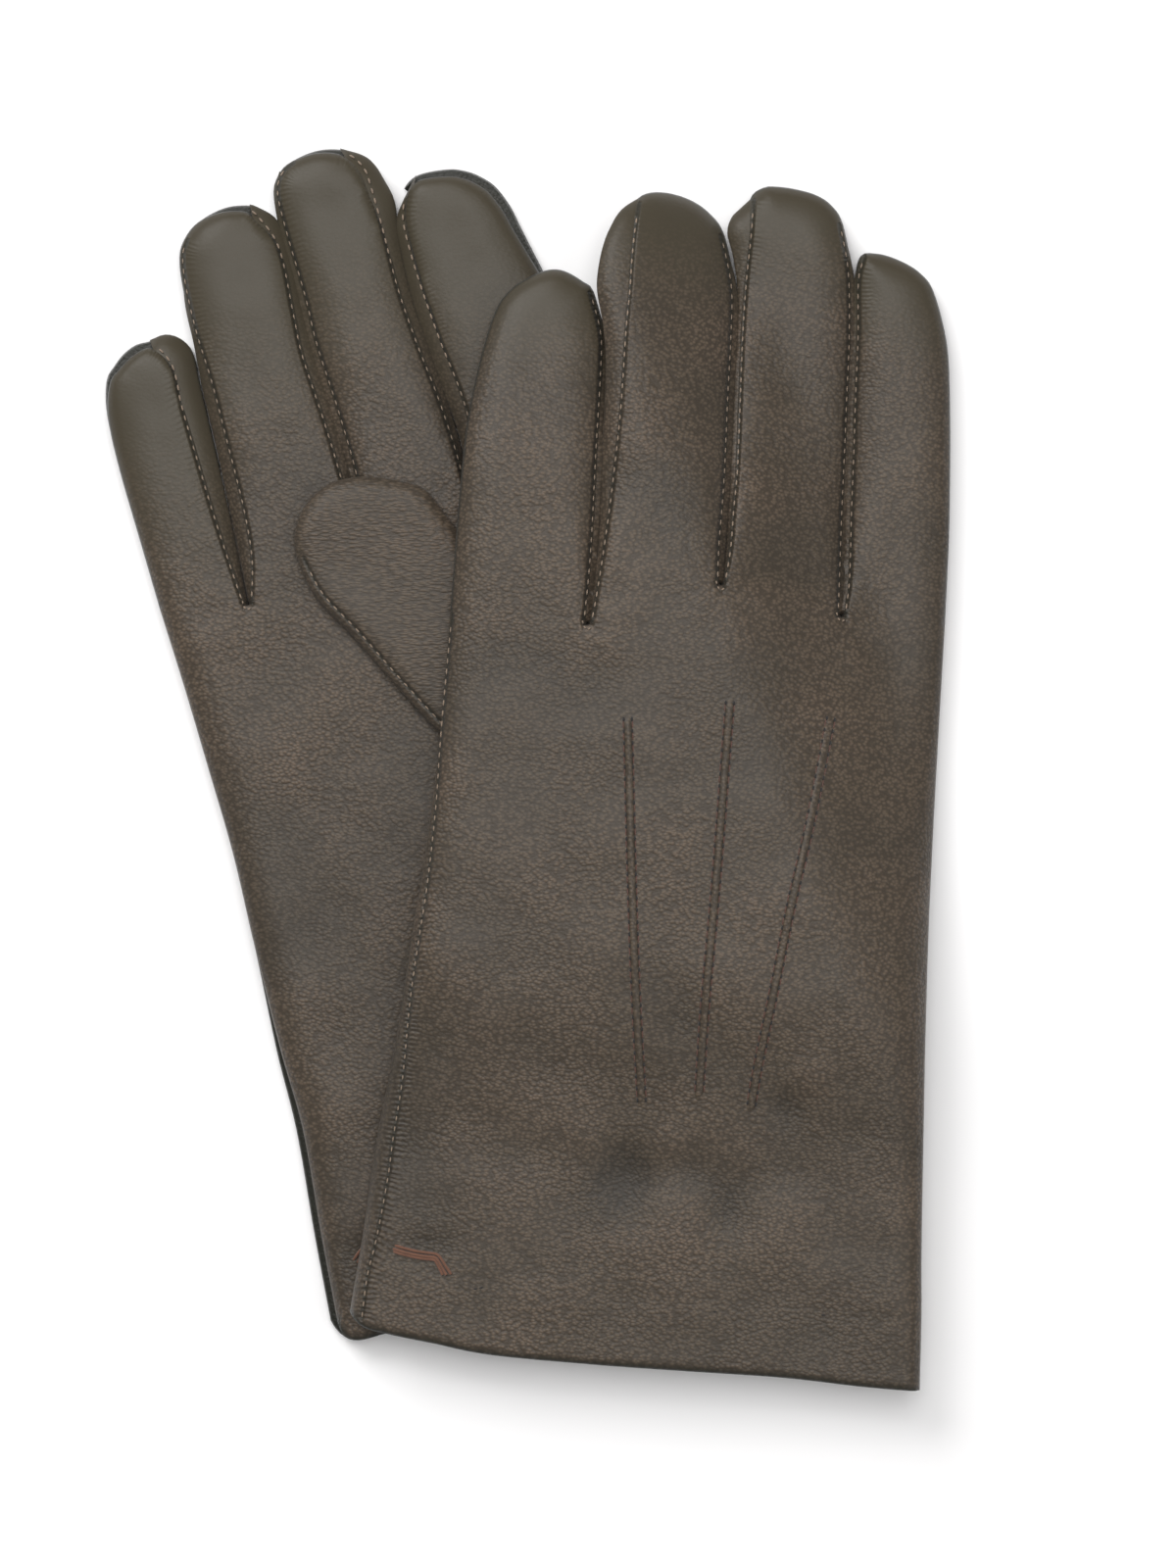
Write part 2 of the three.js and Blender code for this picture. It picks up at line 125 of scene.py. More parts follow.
LEFT = {
    "side": "left",
    "tilt": -6,
    "cuff": [(-50.3, -111.4), (-47.2, -114.3), (-41.4, -115.9), (-33.1, -117.6), (-20.7, -120.1), (0, -122.1),
             (20.7, -123.6),
             (41.4, -125), (58, -126.9), (70, -127.9)],
    "left": [(-50.3, -111.4), (-47.6, -95.2), (-44.5, -74.5), (-40.4, -53.8), (-36.4, -28), (-34.8, -18.6),
             (-31.7, 4.1),
             (-30.2, 20.7), (-28.9, 36.5)],
    "right": [(70, -127.9), (70.4, -111.8), (70.4, -99.4), (70.8, -74.5), (71.2, -53.8), (72, -33.1), (72.9, -16.6),
              (73.9, 0),
              (74.9, 17), (75.9, 34)],
    "crotches": [(-28.9, 36.5), (-0.1, 33.6), (27.9, 41.9), (53.6, 35.6), (75.9, 34)],
    "little": {
        "left": [(-26.9, 62.1), (-25.3, 76.6), (-22.8, 89), (-19.7, 99.4), (-16.6, 104.1)],
        "tip": [(-12.4, 107), (-9.3, 108.3), (-6.6, 108.6), (-4.1, 107.9), (-1, 106), (1.2, 103.9)],
        "right": [(1, 45), (1.6, 54), (2.4, 70), (3.4, 87), (3.4, 95)],
        "flex": 43,
    },
    "ring": {
        "left": [(0.8, 38.3), (2, 45.5), (3.2, 53.8), (4.3, 62.1), (6.1, 78.7), (7.2, 95.2), (8, 103.5), (8.4, 109.7),
                 (9, 115.9)],
        "tip": [(10, 122.6), (12.4, 124.8), (16.6, 125.2), (21.7, 123.9), (25.9, 121.1), (29, 116.5)],
        "right": [(28.2, 49.7), (28.9, 58), (29.5, 66.2), (30.3, 82.8), (31, 95.2), (31.1, 105.6)],
        "skirt_left": [(1.2, 45), (2.3, 56), (2.9, 70), (3.7, 87), (3.2, 96), (1.9, 103.5), (2.1, 108), (3.1, 113),
                       (4.6, 117),
                       (7.2, 121.2)],
        "flex": 52,
    },
    "middle": {
        "left": [(29.2, 49.7), (29.9, 58), (30.7, 66), (31.3, 78.7), (32, 95), (32.9, 107.6), (33.8, 116)],
        "tip": [(34.4, 124.2), (37.3, 126.8), (40.4, 127), (44.5, 126.4), (48.6, 125.2), (51.8, 123), (54.2, 119)],
        "right": [(54, 44), (54.6, 58), (55.2, 70.4), (55.7, 82.8), (56.2, 95.2), (56, 108.7)],
        "skirt_left": [(28.9, 50), (29.5, 60), (30.4, 75), (31.1, 90), (31.8, 103), (30.9, 111.5), (29.6, 117),
                       (30.4, 120.2),
                       (32.2, 122.2)],
        "flex": 53,
    },
    "index": {
        "left": [(54.7, 44), (55.2, 58), (55.7, 70.4), (56.1, 82.8), (56.6, 95.2), (56.7, 107)],
        "tip": [(58, 112.3), (61.1, 112.8), (64.6, 112), (68.3, 110.3), (70.8, 108.5), (73.1, 105.6)],
        "right": [(76.4, 44), (76.8, 53.8), (77, 66.2), (77, 78.7), (76.6, 91.1), (75.2, 99)],
        "flex": 50,
    },
    "thumb": [(17, -27), (13, -24), (7, -8), (1.5, 10), (-4, 26), (-8, 40), (-8, 48), (-4, 55), (2.5, 57.5), (10, 55),
              (15.5, 50),
              (18, 46), (24, 26), (27, 12), (32, -4), (37, -16), (36, -24), (28, -29)],
    "seam": [(-47.6, -112.6), (-46.4, -103.5), (-44.4, -95.2), (-42.1, -82.8), (-41, -74.5), (-39, -62.1),
             (-37.3, -45.5),
             (-35.5, -33.1), (-33.6, -20.7), (-31.8, -4.1), (-30.7, 12.4), (-28.4, 36.5)],
    "thumb_seam": [(14.4, -22), (8.6, -7), (3.1, 11), (-2.4, 27), (-6.2, 40.5), (-6, 48)],
}

# Rows of sewing along the edges of each finger's panel, set in from its edge
ROW_INSET = {"right": 0.9, "left": 0.8}
# How many points of the tip a finger's sewing follows
ROUND_TIP = {"right": {"little": 2, "ring": 2, "middle": 2, "index": 1},
             "left": {"little": 1, "ring": 1, "middle": 1, "index": 1}}

# The left glove's three points, from the knuckles to the wrist
POINTS = {
    "ring": [(8.3, 14.8), (9.2, -20.7), (10.1, -45.5), (11.4, -68.7)],
    "middle": [(29.8, 18.2), (26.8, -20.7), (24.6, -45.5), (23.2, -67.3)],
    "index": [(51.3, 14.9), (46.6, -8), (42.6, -25), (39.2, -42), (35.9, -58), (33.9, -69.8)],
}
# Dents and swells near the left cuff: where, how wide and high, and how deep in millimetres
DENTS = [((8, -82), 7, 9, -1.4), ((22, -81), 5, 5, -0.8), ((29, -89), 5.5, 6.5, -1.1), ((20, -93), 6, 6, 0.7),
         ((17, -76), 4, 4, 0.5), ((0, -74), 4, 7, 0.4), ((42, -68), 5, 4.5, -1.0), ((47, -61), 5, 5, 0.6),
         ((37, -97), 8, 6, 0.5), ((-14, -60), 16, 24, 0.35), ((-8, 10), 12, 18, -0.25), ((60, -20), 9, 30, 0.3),
         ((-34, -97), 5, 3, -0.7), ((-40, -72), 6, 14, -0.4)]


def linear(hex_colour):
    """An sRGB hex colour as linear red, green and blue."""
    parts = [int(hex_colour[i:i + 2], 16) / 255 for i in (1, 3, 5)]
    return tuple(c / 12.92 if c <= 0.04045 else ((c + 0.055) / 1.055) ** 2.4 for c in parts)


class GloveSizes(bpy.types.PropertyGroup):
    """Sizes that a maker would change, in metres."""
    thick: FloatProperty(name="Thickness", description="Thickness of a hand or finger lying flat", default=8.4 * MM,
                         unit="LENGTH")
    thumb_thick: FloatProperty(name="Thumb thickness", description="Thickness of a folded thumb", default=4.6 * MM,
                               unit="LENGTH")
    leather: FloatProperty(name="Leather", description="Thickness of the nappa", default=0.8 * MM, unit="LENGTH")
    stitch_pitch: FloatProperty(name="Stitch pitch", description="Distance from one stitch to the next",
                                default=2.2 * MM,
                                unit="LENGTH")
    thread: FloatProperty(name="Thread", description="Diameter of the sewing thread", default=0.42 * MM,
                          unit="LENGTH")
    tack_thread: FloatProperty(name="Tack thread", description="Diameter of the thread that tacks the pair",
                               default=0.68 * MM,
                               unit="LENGTH")
    grain: FloatProperty(name="Grain", description="Size of one pebble of the leather's grain", default=0.74 * MM,
                         unit="LENGTH")


def colour_property(name, hex_colour, description):
    return FloatVectorProperty(name=name, description=description, default=linear(hex_colour), subtype="COLOR", min=0,
                               max=1)


class GloveColours(bpy.types.PropertyGroup):
    """Colours that a maker would change."""
    leather: colour_property("Leather", "#55493c", "Nappa in even light")
    # the dark colour is both the deepest dye and painted shade in the hollows of the modelling
    leather_dark_and_shade: colour_property("Leather, dark", "#453d33", "Nappa where the dye is deepest")
    # the warm colour is both wear and a painted highlight, on crests and in random patches
    leather_warm_highlight: colour_property("Leather, warm", "#645548", "Nappa where it is rubbed")
    leather_smooth: colour_property("Leather, smooth", "#3d372b", "Nappa of the fingers, pressed smooth")
    raw_edge: colour_property("Cut edge", "#22221c", "The dyed edge of a cut panel")
    lining: colour_property("Lining", "#2b2723", "Knitted lining")
    seam: colour_property("Seam thread", "#8d7966", "Thread of the seams")
    point: colour_property("Point thread", "#563428", "Thread of the points")
    # the prick colour is painted shade: near-black marks where the point thread dives into its needle holes
    prick: colour_property("Prick thread", "#15110f", "Thread where it dives into the points")
    tack: colour_property("Tack thread", "#6f4a37", "Thread that tacks the pair")
    table: colour_property("Table", "#f4f3f3", "The floor")


def sizes():
    return bpy.context.scene.glove_sizes


def colours():
    return bpy.context.scene.glove_colours


# ---------------------------------------------------------------- plan geometry

def spline(points, step=1.0):
    """A smooth line through points, resampled every step or so."""
    p = np.array(points, float)
    q = np.vstack([2 * p[0] - p[1], p, 2 * p[-1] - p[-2]])
    out = []
    for i in range(1, len(q) - 2):
        a, b, c, d = q[i - 1:i + 3]
        n = max(1, int(round(np.linalg.norm(c - b) / step)))
        t = (np.arange(n) / n)[:, None]
        out.append(0.5 * (2 * b + (c - a) * t + (2 * a - 5 * b + 4 * c - d) * t**2 + (3 * b - a - 3 * c + d) * t**3))
    return np.vstack(out + [p[-1:]])


def straight(a, b, step=1.0):
    """The points of a straight line, every step or so."""
    n = max(1, int(round(math.dist(a, b) / step)))
    t = np.linspace(0, 1, n + 1)[:, None]
    return np.array(a) * (1 - t) + np.array(b) * t


# How many points are measured at a time
BATCH = 4000


def nearest(points, line):
    """Distance from each point to a line, and the distance run along it there."""
    a, b = line[:-1], line[1:]
    ab = b - a
    length = np.linalg.norm(ab, axis=1)
    run = np.concatenate([[0], np.cumsum(length)])
    gap, along = np.empty(len(points)), np.empty(len(points))
    for k in range(0, len(points), BATCH):
        p = points[k:k + BATCH, None, :] - a[None]
        t = np.clip((p * ab).sum(2) / (length**2 + 1e-12), 0, 1)
        off = p - t[..., None] * ab
        d = np.linalg.norm(off, axis=2)
        best = d.argmin(1)
        rows = np.arange(len(best))
        gap[k:k + BATCH] = d[rows, best]
        along[k:k + BATCH] = run[best] + t[rows, best] * length[best]
    return gap, along


def run_of(line):
    """The distance run along a line at each of its points."""
    return np.concatenate([[0], np.cumsum(np.linalg.norm(np.diff(line, axis=0), axis=1))])


def offset(line, amounts):
    """line moved to its left in plan, by one amount or by one for each point."""
    tangent = np.gradient(line, axis=0)
    tangent /= np.linalg.norm(tangent, axis=1)[:, None] + 1e-12
    return line + np.column_stack([-tangent[:, 1], tangent[:, 0]]) * np.reshape(amounts, (-1, 1))


def closed_of(line):
    """A line with its first point again at its end."""
    return np.vstack([line, line[:1]])


def inside(points, polygon):
    """Which points lie inside a polygon."""
    x, y = points[:, 0], points[:, 1]
    result = np.zeros(len(points), bool)
    for (x1, y1), (x2, y2) in zip(polygon, np.roll(polygon, -1, axis=0)):
        if y1 != y2:
            crosses = ((y1 > y) != (y2 > y)) & (x < (x2 - x1) * (y - y1) / (y2 - y1) + x1)
            result ^= crosses
    return result


def smooth(t):
    """0 up to 0 and 1 from 1 on, with an even curve between."""
    t = np.clip(t, 0, 1)
    return t * t * (3 - 2 * t)


# How many waves a swell is the sum of, and about how high they reach together
RIPPLE_WAVES, RIPPLE_PEAK = 18, 6


def ripple(points, length, seed):
    """A soft, even, random swell of about the given wavelength, between roughly -1 and 1."""
    rng = np.random.default_rng(seed)
    total = np.zeros(len(points))
    for _ in range(RIPPLE_WAVES):
        angle, scale, phase = rng.uniform(0, math.tau), rng.uniform(0.7, 1.5), rng.uniform(0, math.tau)
        k = math.tau / (length * scale)
        total += np.sin(k * (points[:, 0] * math.cos(angle) + points[:, 1] * math.sin(angle)) + phase)
    return total / RIPPLE_PEAK


# Farther, in millimetres, than any measure that matters
FAR = 50.0
# ---------------------------------------------------------------- heights

HEM_DEEP = 14.0
# How far in each kind of edge rolls, and how far along a line the roll takes to grow to its full width
CROTCH_ROUND, FINGER_ROUND, EDGE_ROUND, CUFF_ROUND = 1.3, 9.2, 8.0, 3.2
FINGER_GROW, EDGE_GROW, ROLL_POWER = 34, 45, 2.1
# The left glove lies this high on the right one, and falls this far past a line that runs along its side
PLATEAU, DRAPE_WIDE, DRAPE_DROP = 13.8, 40.0, 13.4
DRAPE_FROM, DRAPE_OUT = np.array([69, -90]), np.array([0.940, 0.341])
# It sinks towards its cuff, and its little finger towards its tip
CUFF_DROP, CUFF_FROM, CUFF_TO = 5.0, -82.0, -34.0
LITTLE_FROM, LITTLE_TO = 60.0, 104.0


def axis_of(glove):
    """The way that a glove's fingers point, in plan."""
    turn = math.radians(glove["tilt"])
    return np.array([-math.sin(turn), math.cos(turn)])


def rest_height(glove, points, finger=None):
    """Height of the underside: the right glove lies on the table and the left one drapes over it."""
    if glove["side"] == "right":
        return np.zeros(len(points))
    up = points @ axis_of(glove)
    height = PLATEAU - CUFF_DROP * (1 - smooth((up - CUFF_FROM) / (CUFF_TO - CUFF_FROM)))
    height -= DRAPE_DROP * smooth(((points - DRAPE_FROM) @ DRAPE_OUT) / DRAPE_WIDE)
    if finger == "little":
        height -= CUFF_DROP * smooth((up - LITTLE_FROM) / (LITTLE_TO - LITTLE_FROM))
    return height


def side_of(glove, name, which, skirt):
    """One side of a finger from the crotch to the shoulder, as the panel's edge or as the skirt behind it."""
    i = FINGERS.index(name)
    finger = glove[name]
    root = glove["crotches"][i if which == "left" else i + 1]
    points = finger.get("skirt_" + which) if skirt else None
    return [root] + (points or finger[which])


def finger_outline(glove, name, skirt):
    """The line up a finger's left side, round its tip and down its right side."""
    left, right = side_of(glove, name, "left", skirt), side_of(glove, name, "right", skirt)
    tip = list(glove[name]["tip"])
    if skirt and "skirt_left" in glove[name] and glove["side"] == "left":
        tip = tip[1:]
    if skirt and "skirt_right" in glove[name]:
        tip = tip[:-1]
    return spline(left + tip + right[::-1])


def prepare(glove):
    """Everything about a glove that its pieces share."""
    glove["cuff_line"] = spline(glove["cuff"])
    glove["left_line"] = spline(glove["left"])
    glove["right_line"] = spline(glove["right"])
    glove["edges"] = []
    for line in (glove["left_line"], glove["right_line"]):
        from_cuff = nearest(line, glove["cuff_line"])[0]
        glove["edges"].append((line, CUFF_ROUND + (EDGE_ROUND - CUFF_ROUND) * smooth(from_cuff / EDGE_GROW)))
    glove["outlines"] = {}
    for i, name in enumerate(FINGERS):
        line = finger_outline(glove, name, True)
        run = run_of(line)
        start = np.where(run < run[-1] / 2, EDGE_ROUND if i == 0 else CROTCH_ROUND,
                         EDGE_ROUND if i == 3 else CROTCH_ROUND)
        grow = smooth(np.minimum(run, run[-1] - run) / FINGER_GROW)
        glove["outlines"][name] = (line, start + (FINGER_ROUND - start) * grow)
    glove["rows"] = rows_of(glove)
    if "seam" in glove:
        glove["side_row"] = glove["rows"][0][1]


def edge_ratio(points, lines):
    """How far in from the nearest edge each point is, as a share of the roll there."""
    best = np.full(len(points), FAR)
    for line, rolls in lines:
        gap, along = nearest(points, line)
        run = run_of(line)
        best = np.minimum(best, gap / np.interp(along, run, rolls))
    return best


def bulge(ratio):
    """The round rise from an edge at 0 to the full height at 1."""
    return (1 - (1 - np.clip(ratio, 0, 1))**ROLL_POWER)**(1 / ROLL_POWER)


def fullness(glove, points, finger=None):
    """0 at an edge and 1 where the glove is at its full thickness."""
    lines = [glove["outlines"][finger]] if finger else glove["edges"] + list(glove["outlines"].values())
    if finger == "little":
        lines = lines + glove["edges"][:1]
    if finger == "index":
        lines = lines + glove["edges"][1:]
    return bulge(edge_ratio(points, lines))


# Height and wavelength of the swells, how high the folds at the finger roots and how deep the hem's line, and the most
SWELLS = ((0.25, 58), (0.3, 24), (0.1, 11))
CROTCH_FOLD, HEM_DENT, DENT_MOST = 0.12, 0.22, 1.7
# Where the root folds are highest, how far they reach and how many go round
FOLD_AT, FOLD_WIDE, FOLD_COUNT = 9, 6, 6
HEM_LINE_WIDE, HEM_WAVE = 1.6, 0.13


def modelling(glove, points):
    """Creases, hollows and swells in the upper face, in millimetres."""
    seed = 11 if glove["side"] == "left" else 23
    swell = sum(high * ripple(points, wide, seed + k) for k, (high, wide) in enumerate(SWELLS))
    if glove["side"] == "left":
        for (x, y), wide, high, deep in DENTS:
            swell += deep * np.exp(-((points[:, 0] - x) / wide)**2 - ((points[:, 1] - y) / high)**2)
    for root in glove["crotches"][1:-1]:
        away = points - np.array(root)
        reach = np.sqrt((away**2).sum(1))
        bearing = np.arctan2(away[:, 1], away[:, 0])
        swell += CROTCH_FOLD * np.exp(-((reach - FOLD_AT) / FOLD_WIDE)**2) * np.sin(FOLD_COUNT * bearing + root[0])
    hem = nearest(points, glove["cuff_line"])[0]
    uneven = 0.6 + 0.4 * np.sin(points[:, 0] * HEM_WAVE)
    swell -= HEM_DENT * np.exp(-((hem - HEM_DEEP - 1) / HEM_LINE_WIDE)**2) * uneven
    return np.clip(swell, -DENT_MOST, DENT_MOST)


# How far the cuff's edge rolls in and over what width, how far the upper face lies below the full thickness, and how
# much of the modelling it takes
CUFF_ROLL, CUFF_ROLL_WIDE, TOP_SLACK, MODELLED = 0.7, 1.6, 0.35, 0.75


def faces_of(glove, finger=None):
    """The upper and lower face heights of a glove as a function of plan position."""
    def heights(points):
        half = sizes().thick / MM / 2
        full = fullness(glove, points, finger)
        middle = rest_height(glove, points, finger) + half
        roll = CUFF_ROLL * (1 - bulge(nearest(points, glove["cuff_line"])[0] / CUFF_ROLL_WIDE))
        return (middle + full * (half - TOP_SLACK - roll + modelling(glove, points) * MODELLED),
                middle - full * (half - roll))
    return heights


def top_of(glove, finger=None):
    """The upper face alone."""
    own = faces_of(glove, finger)
    return lambda points: own(points)[0]


def drawn_in(top, low, depth, taper):
    """Both faces moved in by a depth, and brought to the middle where taper falls to 0."""
    middle = (top + low) / 2
    return middle + (top - middle - depth) * taper, middle + (low - middle + depth) * taper


# ---------------------------------------------------------------- closed leather forms

# Distances of the rings of points inside an edge, and of the lines of points beside a row of sewing
RINGS, BESIDE_ROW = (0.12, 0.45, 1.0, 1.8, 2.9), (0.8, -0.8, 1.7, -1.7)
# The points are kept in square cells of this width, so that each is only measured against its neighbours
CELL = 0.25


def scatter(outline, rows, spacing):
    """Plan points that fill an outline: rings inside its edge, then sewing rows, then an even field."""
    kept = {}

    def take(candidates, room):
        reach = int(math.ceil(room / CELL))
        out = []
        for x, y in candidates:
            i, j = int(math.floor(x / CELL)), int(math.floor(y / CELL))
            near = (kept.get((a, b)) for a in range(i - reach, i + reach + 1) for b in range(j - reach,
                                                                                             j + reach + 1))
            if not any(other and (other[0] - x)**2 + (other[1] - y)**2 < room * room for other in near):
                kept[(i, j)] = (x, y)
                out.append((x, y))
        return out

    closed = closed_of(outline)
    take(outline, 0.01)
    points = []
    for row in rows:
        points += take(row[nearest(row, closed)[0] > 0.3], 0.3) if len(row) else []
    turn = 1 if area_of(outline) > 0 else -1
    for distance in RINGS:
        ring = offset(closed, turn * distance)[:-1]
        ring = ring[inside(ring, outline)]
        ring = ring[nearest(ring, closed)[0] > 0.93 * distance]
        points += take(ring, 0.3 if distance < 1 else 0.55)
    for row in rows:
        for shift in BESIDE_ROW:
            line = offset(row, shift)
            line = line[inside(line, outline)]
            if len(line):
                points += take(line[nearest(line, closed)[0] > 0.5], 0.6)
    low, high = outline.min(0), outline.max(0)
    ys = np.arange(low[1], high[1], spacing * 0.866)
    xs = np.arange(low[0], high[0], spacing)
    field = np.array([(x + (k % 2) * spacing / 2, y) for k, y in enumerate(ys) for x in xs])
    field = field[inside(field, outline)]
    field = field[nearest(field, closed)[0] > 0.5 * spacing]
    points += take(field, 0.62 * spacing)
    return np.array(points)


def area_of(polygon):
    """The area of a polygon, above 0 where it runs anticlockwise."""
    x, y = polygon[:, 0], polygon[:, 1]
    return 0.5 * np.sum(x * np.roll(y, -1) - y * np.roll(x, -1))


def triangles_in(outline, rows, spacing):
    """Triangles that fill an outline in plan."""
    if area_of(outline) < 0:
        outline = outline[::-1]
    n = len(outline)
    points = np.vstack([outline, scatter(outline, rows, spacing)])
    edges = [(i, (i + 1) % n) for i in range(n)]
    verts, _, faces, *_ = geometry.delaunay_2d_cdt([Vector(p) for p in points], edges, [], 0, 1e-6)
    verts = np.array([tuple(v) for v in verts])
    faces = np.array([f for f in faces if len(f) == 3])
    centre = verts[faces].mean(1)
    faces = faces[inside(centre, outline)]
    used = np.unique(faces)
    remap = -np.ones(len(verts), int)
    remap[used] = np.arange(len(used))
    verts, faces = verts[used], remap[faces]
    a, b, c = verts[faces[:, 0]], verts[faces[:, 1]], verts[faces[:, 2]]
    turn = (b[:, 0] - a[:, 0]) * (c[:, 1] - a[:, 1]) - (b[:, 1] - a[:, 1]) * (c[:, 0] - a[:, 0])
    faces[turn < 0] = faces[turn < 0][:, ::-1]
    return verts, faces


def rim_edges(faces):
    """The edges on the rim of a patch of triangles, each as its triangle runs along it."""
    seen = {}
    for f in faces:
        for i in range(3):
            a, b = int(f[i]), int(f[(i + 1) % 3])
            seen[(a, b)] = seen.get((a, b), 0) + 1
    return [e for e in seen if (e[1], e[0]) not in seen]


def piece_of(name, coords, faces, material):
    """A new piece from points in plan millimetres, which are moved to their place in the frame."""
    mesh = bpy.data.meshes.new(name)
    mesh.from_pydata(((coords + [*SHIFT, 0]) * MM).tolist(), [], faces)
    mesh.materials.append(material)
    piece = bpy.data.objects.new(name, mesh)
    bpy.context.scene.collection.objects.link(piece)
    return piece


# Points closer than this are one, faces thinner than that are none, and edges sharper than the angle stay sharp
SAME_POINT, NO_FACE, SHARP = 2e-6, 1e-7, math.radians(62)


def leather_form(name, outline, heights, material, rows=(), spacing=1.5, cavity=None, mouth=None, marks=None):
    """A closed form with an upper and a lower face over one outline.
    cavity gives the faces and the extent of a hollow that opens through the rim wherever mouth is true."""
    flat, tris = triangles_in(outline, rows, spacing)
    top, low = heights(flat)
    low = np.minimum(low, top)
    n = len(flat)
    coords = [np.column_stack([flat, top]), np.column_stack([flat, low])]
    faces = [tuple(f) for f in tris] + [tuple(n + f[::-1]) for f in tris]
    rim = rim_edges(tris)
    hollow = {}
    if cavity:
        in_top, in_low, within = cavity(flat)
        chosen = tris[within[tris].all(1)]
        hollow_rim = rim_edges(chosen)
        at_rim = {v for e in hollow_rim for v in e}
        open_edges = {e for e in hollow_rim if e in set(rim) and mouth(flat[list(e)].mean(0))}
        open_count = {}
        for e in open_edges:
            for v in e:
                open_count[v] = open_count.get(v, 0) + 1
        k = 2 * n
        for v in np.unique(chosen):
            v = int(v)
            middle = (top[v] + low[v]) / 2
            if v in at_rim and open_count.get(v, 0) < 2:
                hollow[v] = (k, k)
                coords.append([[*flat[v], middle]])
                k += 1
            else:
                hollow[v] = (k, k + 1)
                coords.append([[*flat[v], in_top[v]], [*flat[v], in_low[v]]])
                k += 2
        for f in chosen:
            a, b, c = (hollow[int(v)] for v in f)
            faces.append((c[0], b[0], a[0]))
            faces.append((a[1], b[1], c[1]))
    for a, b in rim:
        if (a, b) in (open_edges if cavity else ()):
            (at, al), (bt, bl) = hollow[a], hollow[b]
            faces += [tuple(dict.fromkeys((b, a, at, bt))), tuple(dict.fromkeys((n + a, n + b, bl, al)))]
        else:
            ring = [b, a]
            if cavity and open_count.get(a, 0) == 1:
                ring.append(hollow[a][0])
            ring += [n + a, n + b]
            if cavity and open_count.get(b, 0) == 1:
                ring.append(hollow[b][0])
            faces.append(tuple(ring))
    coords = np.vstack([np.array(c, float).reshape(-1, 3) for c in coords])
    piece = piece_of(name, coords, faces, material)
    for key, values in (marks or sewing_marks())(coords[:, :2]).items():
        piece.data.attributes.new(key, "FLOAT", "POINT").data.foreach_set("value", values.astype(np.float32))
    only(piece)
    bpy.ops.object.mode_set(mode="EDIT")
    bpy.ops.mesh.select_all(action="SELECT")
    bpy.ops.mesh.remove_doubles(threshold=SAME_POINT)
    bpy.ops.mesh.dissolve_degenerate(threshold=NO_FACE)
    bpy.ops.object.mode_set(mode="OBJECT")
    bpy.ops.object.shade_smooth_by_angle(angle=SHARP)
    return piece


def only(piece):
    """Selects one piece alone and makes it the active one."""
    bpy.ops.object.select_all(action="DESELECT")
    piece.select_set(True)
    bpy.context.view_layer.objects.active = piece


# ---------------------------------------------------------------- sewing

CROTCH_TURN = ((-1.15, 0.9), (-0.75, -0.6), (0, -1.25), (0.75, -0.6), (1.15, 0.9))


def turn_at(root):
    """The few stitches that go round the foot of a gap between two fingers."""
    return spline([(root[0] + x, root[1] + y) for x, y in CROTCH_TURN], 0.4)


def rows_of(glove):
    """The sewn rows on the upper face, each with the finger it is on."""
    rows = [("hand", spline(glove["seam"]))] if "seam" in glove else []
    inset = ROW_INSET[glove["side"]]
    for name in FINGERS:
        for which, turn in (("left", -1), ("right", 1)):
            if (name, which) in (("little", "left"), ("index", "right")):
                continue
            tip = glove[name]["tip"] if which == "left" else glove[name]["tip"][::-1]
            line = spline(side_of(glove, name, which, False) + tip[:ROUND_TIP[glove["side"]][name]])
            rows.append((name, offset(line, turn * inset)[1:]))
    return rows


def all_rows(glove):
    """Every row of sewing, and the turns round the feet of the gaps."""
    return [row for _, row in glove["rows"]] + [turn_at(root) for root in glove["crotches"][1:-1]]


# How far a finger seam gathers the leather, as a share of what the side seam does
FINGER_GATHER = 0.28
# The side seam gathers more from the middle of the hand down to the cuff, over this length
SIDE_GATHER = 45
# Where the smooth leather of a finger begins to be grained and where it is fully grained, from the tip
TIP_SMOOTH = {"left": (3.0, 30.0), "right": (12.0, 66.0)}


def sewing_marks(rows=(), cut=None, slow=1.0, glove=None, finger=None):
    """Point values that the leather reads: run along the nearest row, gap to it and how much it gathers, gap to a cut
    edge, how high a crest is, and how smooth a fingertip is."""
    def marks(points):
        gap, run, gather = np.full(len(points), FAR), np.zeros(len(points)), np.zeros(len(points))
        for row in rows:
            g, along = nearest(points, row)
            closer = g < gap
            gap[closer], run[closer] = g[closer], along[closer]
            gather[closer] = FINGER_GATHER
            if glove and "side_row" in glove and row is glove["side_row"]:
                gather[closer] += (1 - FINGER_GATHER) * smooth(-points[closer, 1] / SIDE_GATHER)
        bare = nearest(points, cut)[0] * slow if cut is not None else np.full(len(points), FAR)
        values = {"seam_gap": gap, "seam_run": run, "gather": gather, "cut_gap": bare}
        if glove:
            # the leather's colour is darkened in the hollows and lightened on the crests from this: painted shade and
            # light
            values["crest"] = modelling(glove, points)
        if finger:
            up = axis_of(glove)
            from_tip = (np.array(glove[finger]["tip"]) @ up).max() - points @ up
            start, stop = TIP_SMOOTH[glove["side"]]
            values["polish"] = 1 - smooth((from_tip - start) / (stop - start))
        return values
    return marks


def stitch_shape():
    """One small stitch, lying along X, that all rows copy."""
    bpy.ops.object.select_all(action="DESELECT")
    bpy.ops.mesh.primitive_uv_sphere_add(segments=6, ring_count=4, radius=1, rotation=(0, math.pi / 2, 0))
    shape = bpy.context.active_object
    bpy.ops.object.transform_apply(location=True, rotation=True, scale=True)
    coords = np.array([v.co[:] for v in shape.data.vertices])
    faces = [tuple(p.vertices) for p in shape.data.polygons]
    bpy.data.objects.remove(shape, do_unlink=True)
    return coords, faces


# A stitch points the way its row runs over this distance to each side
LOOK = 0.3


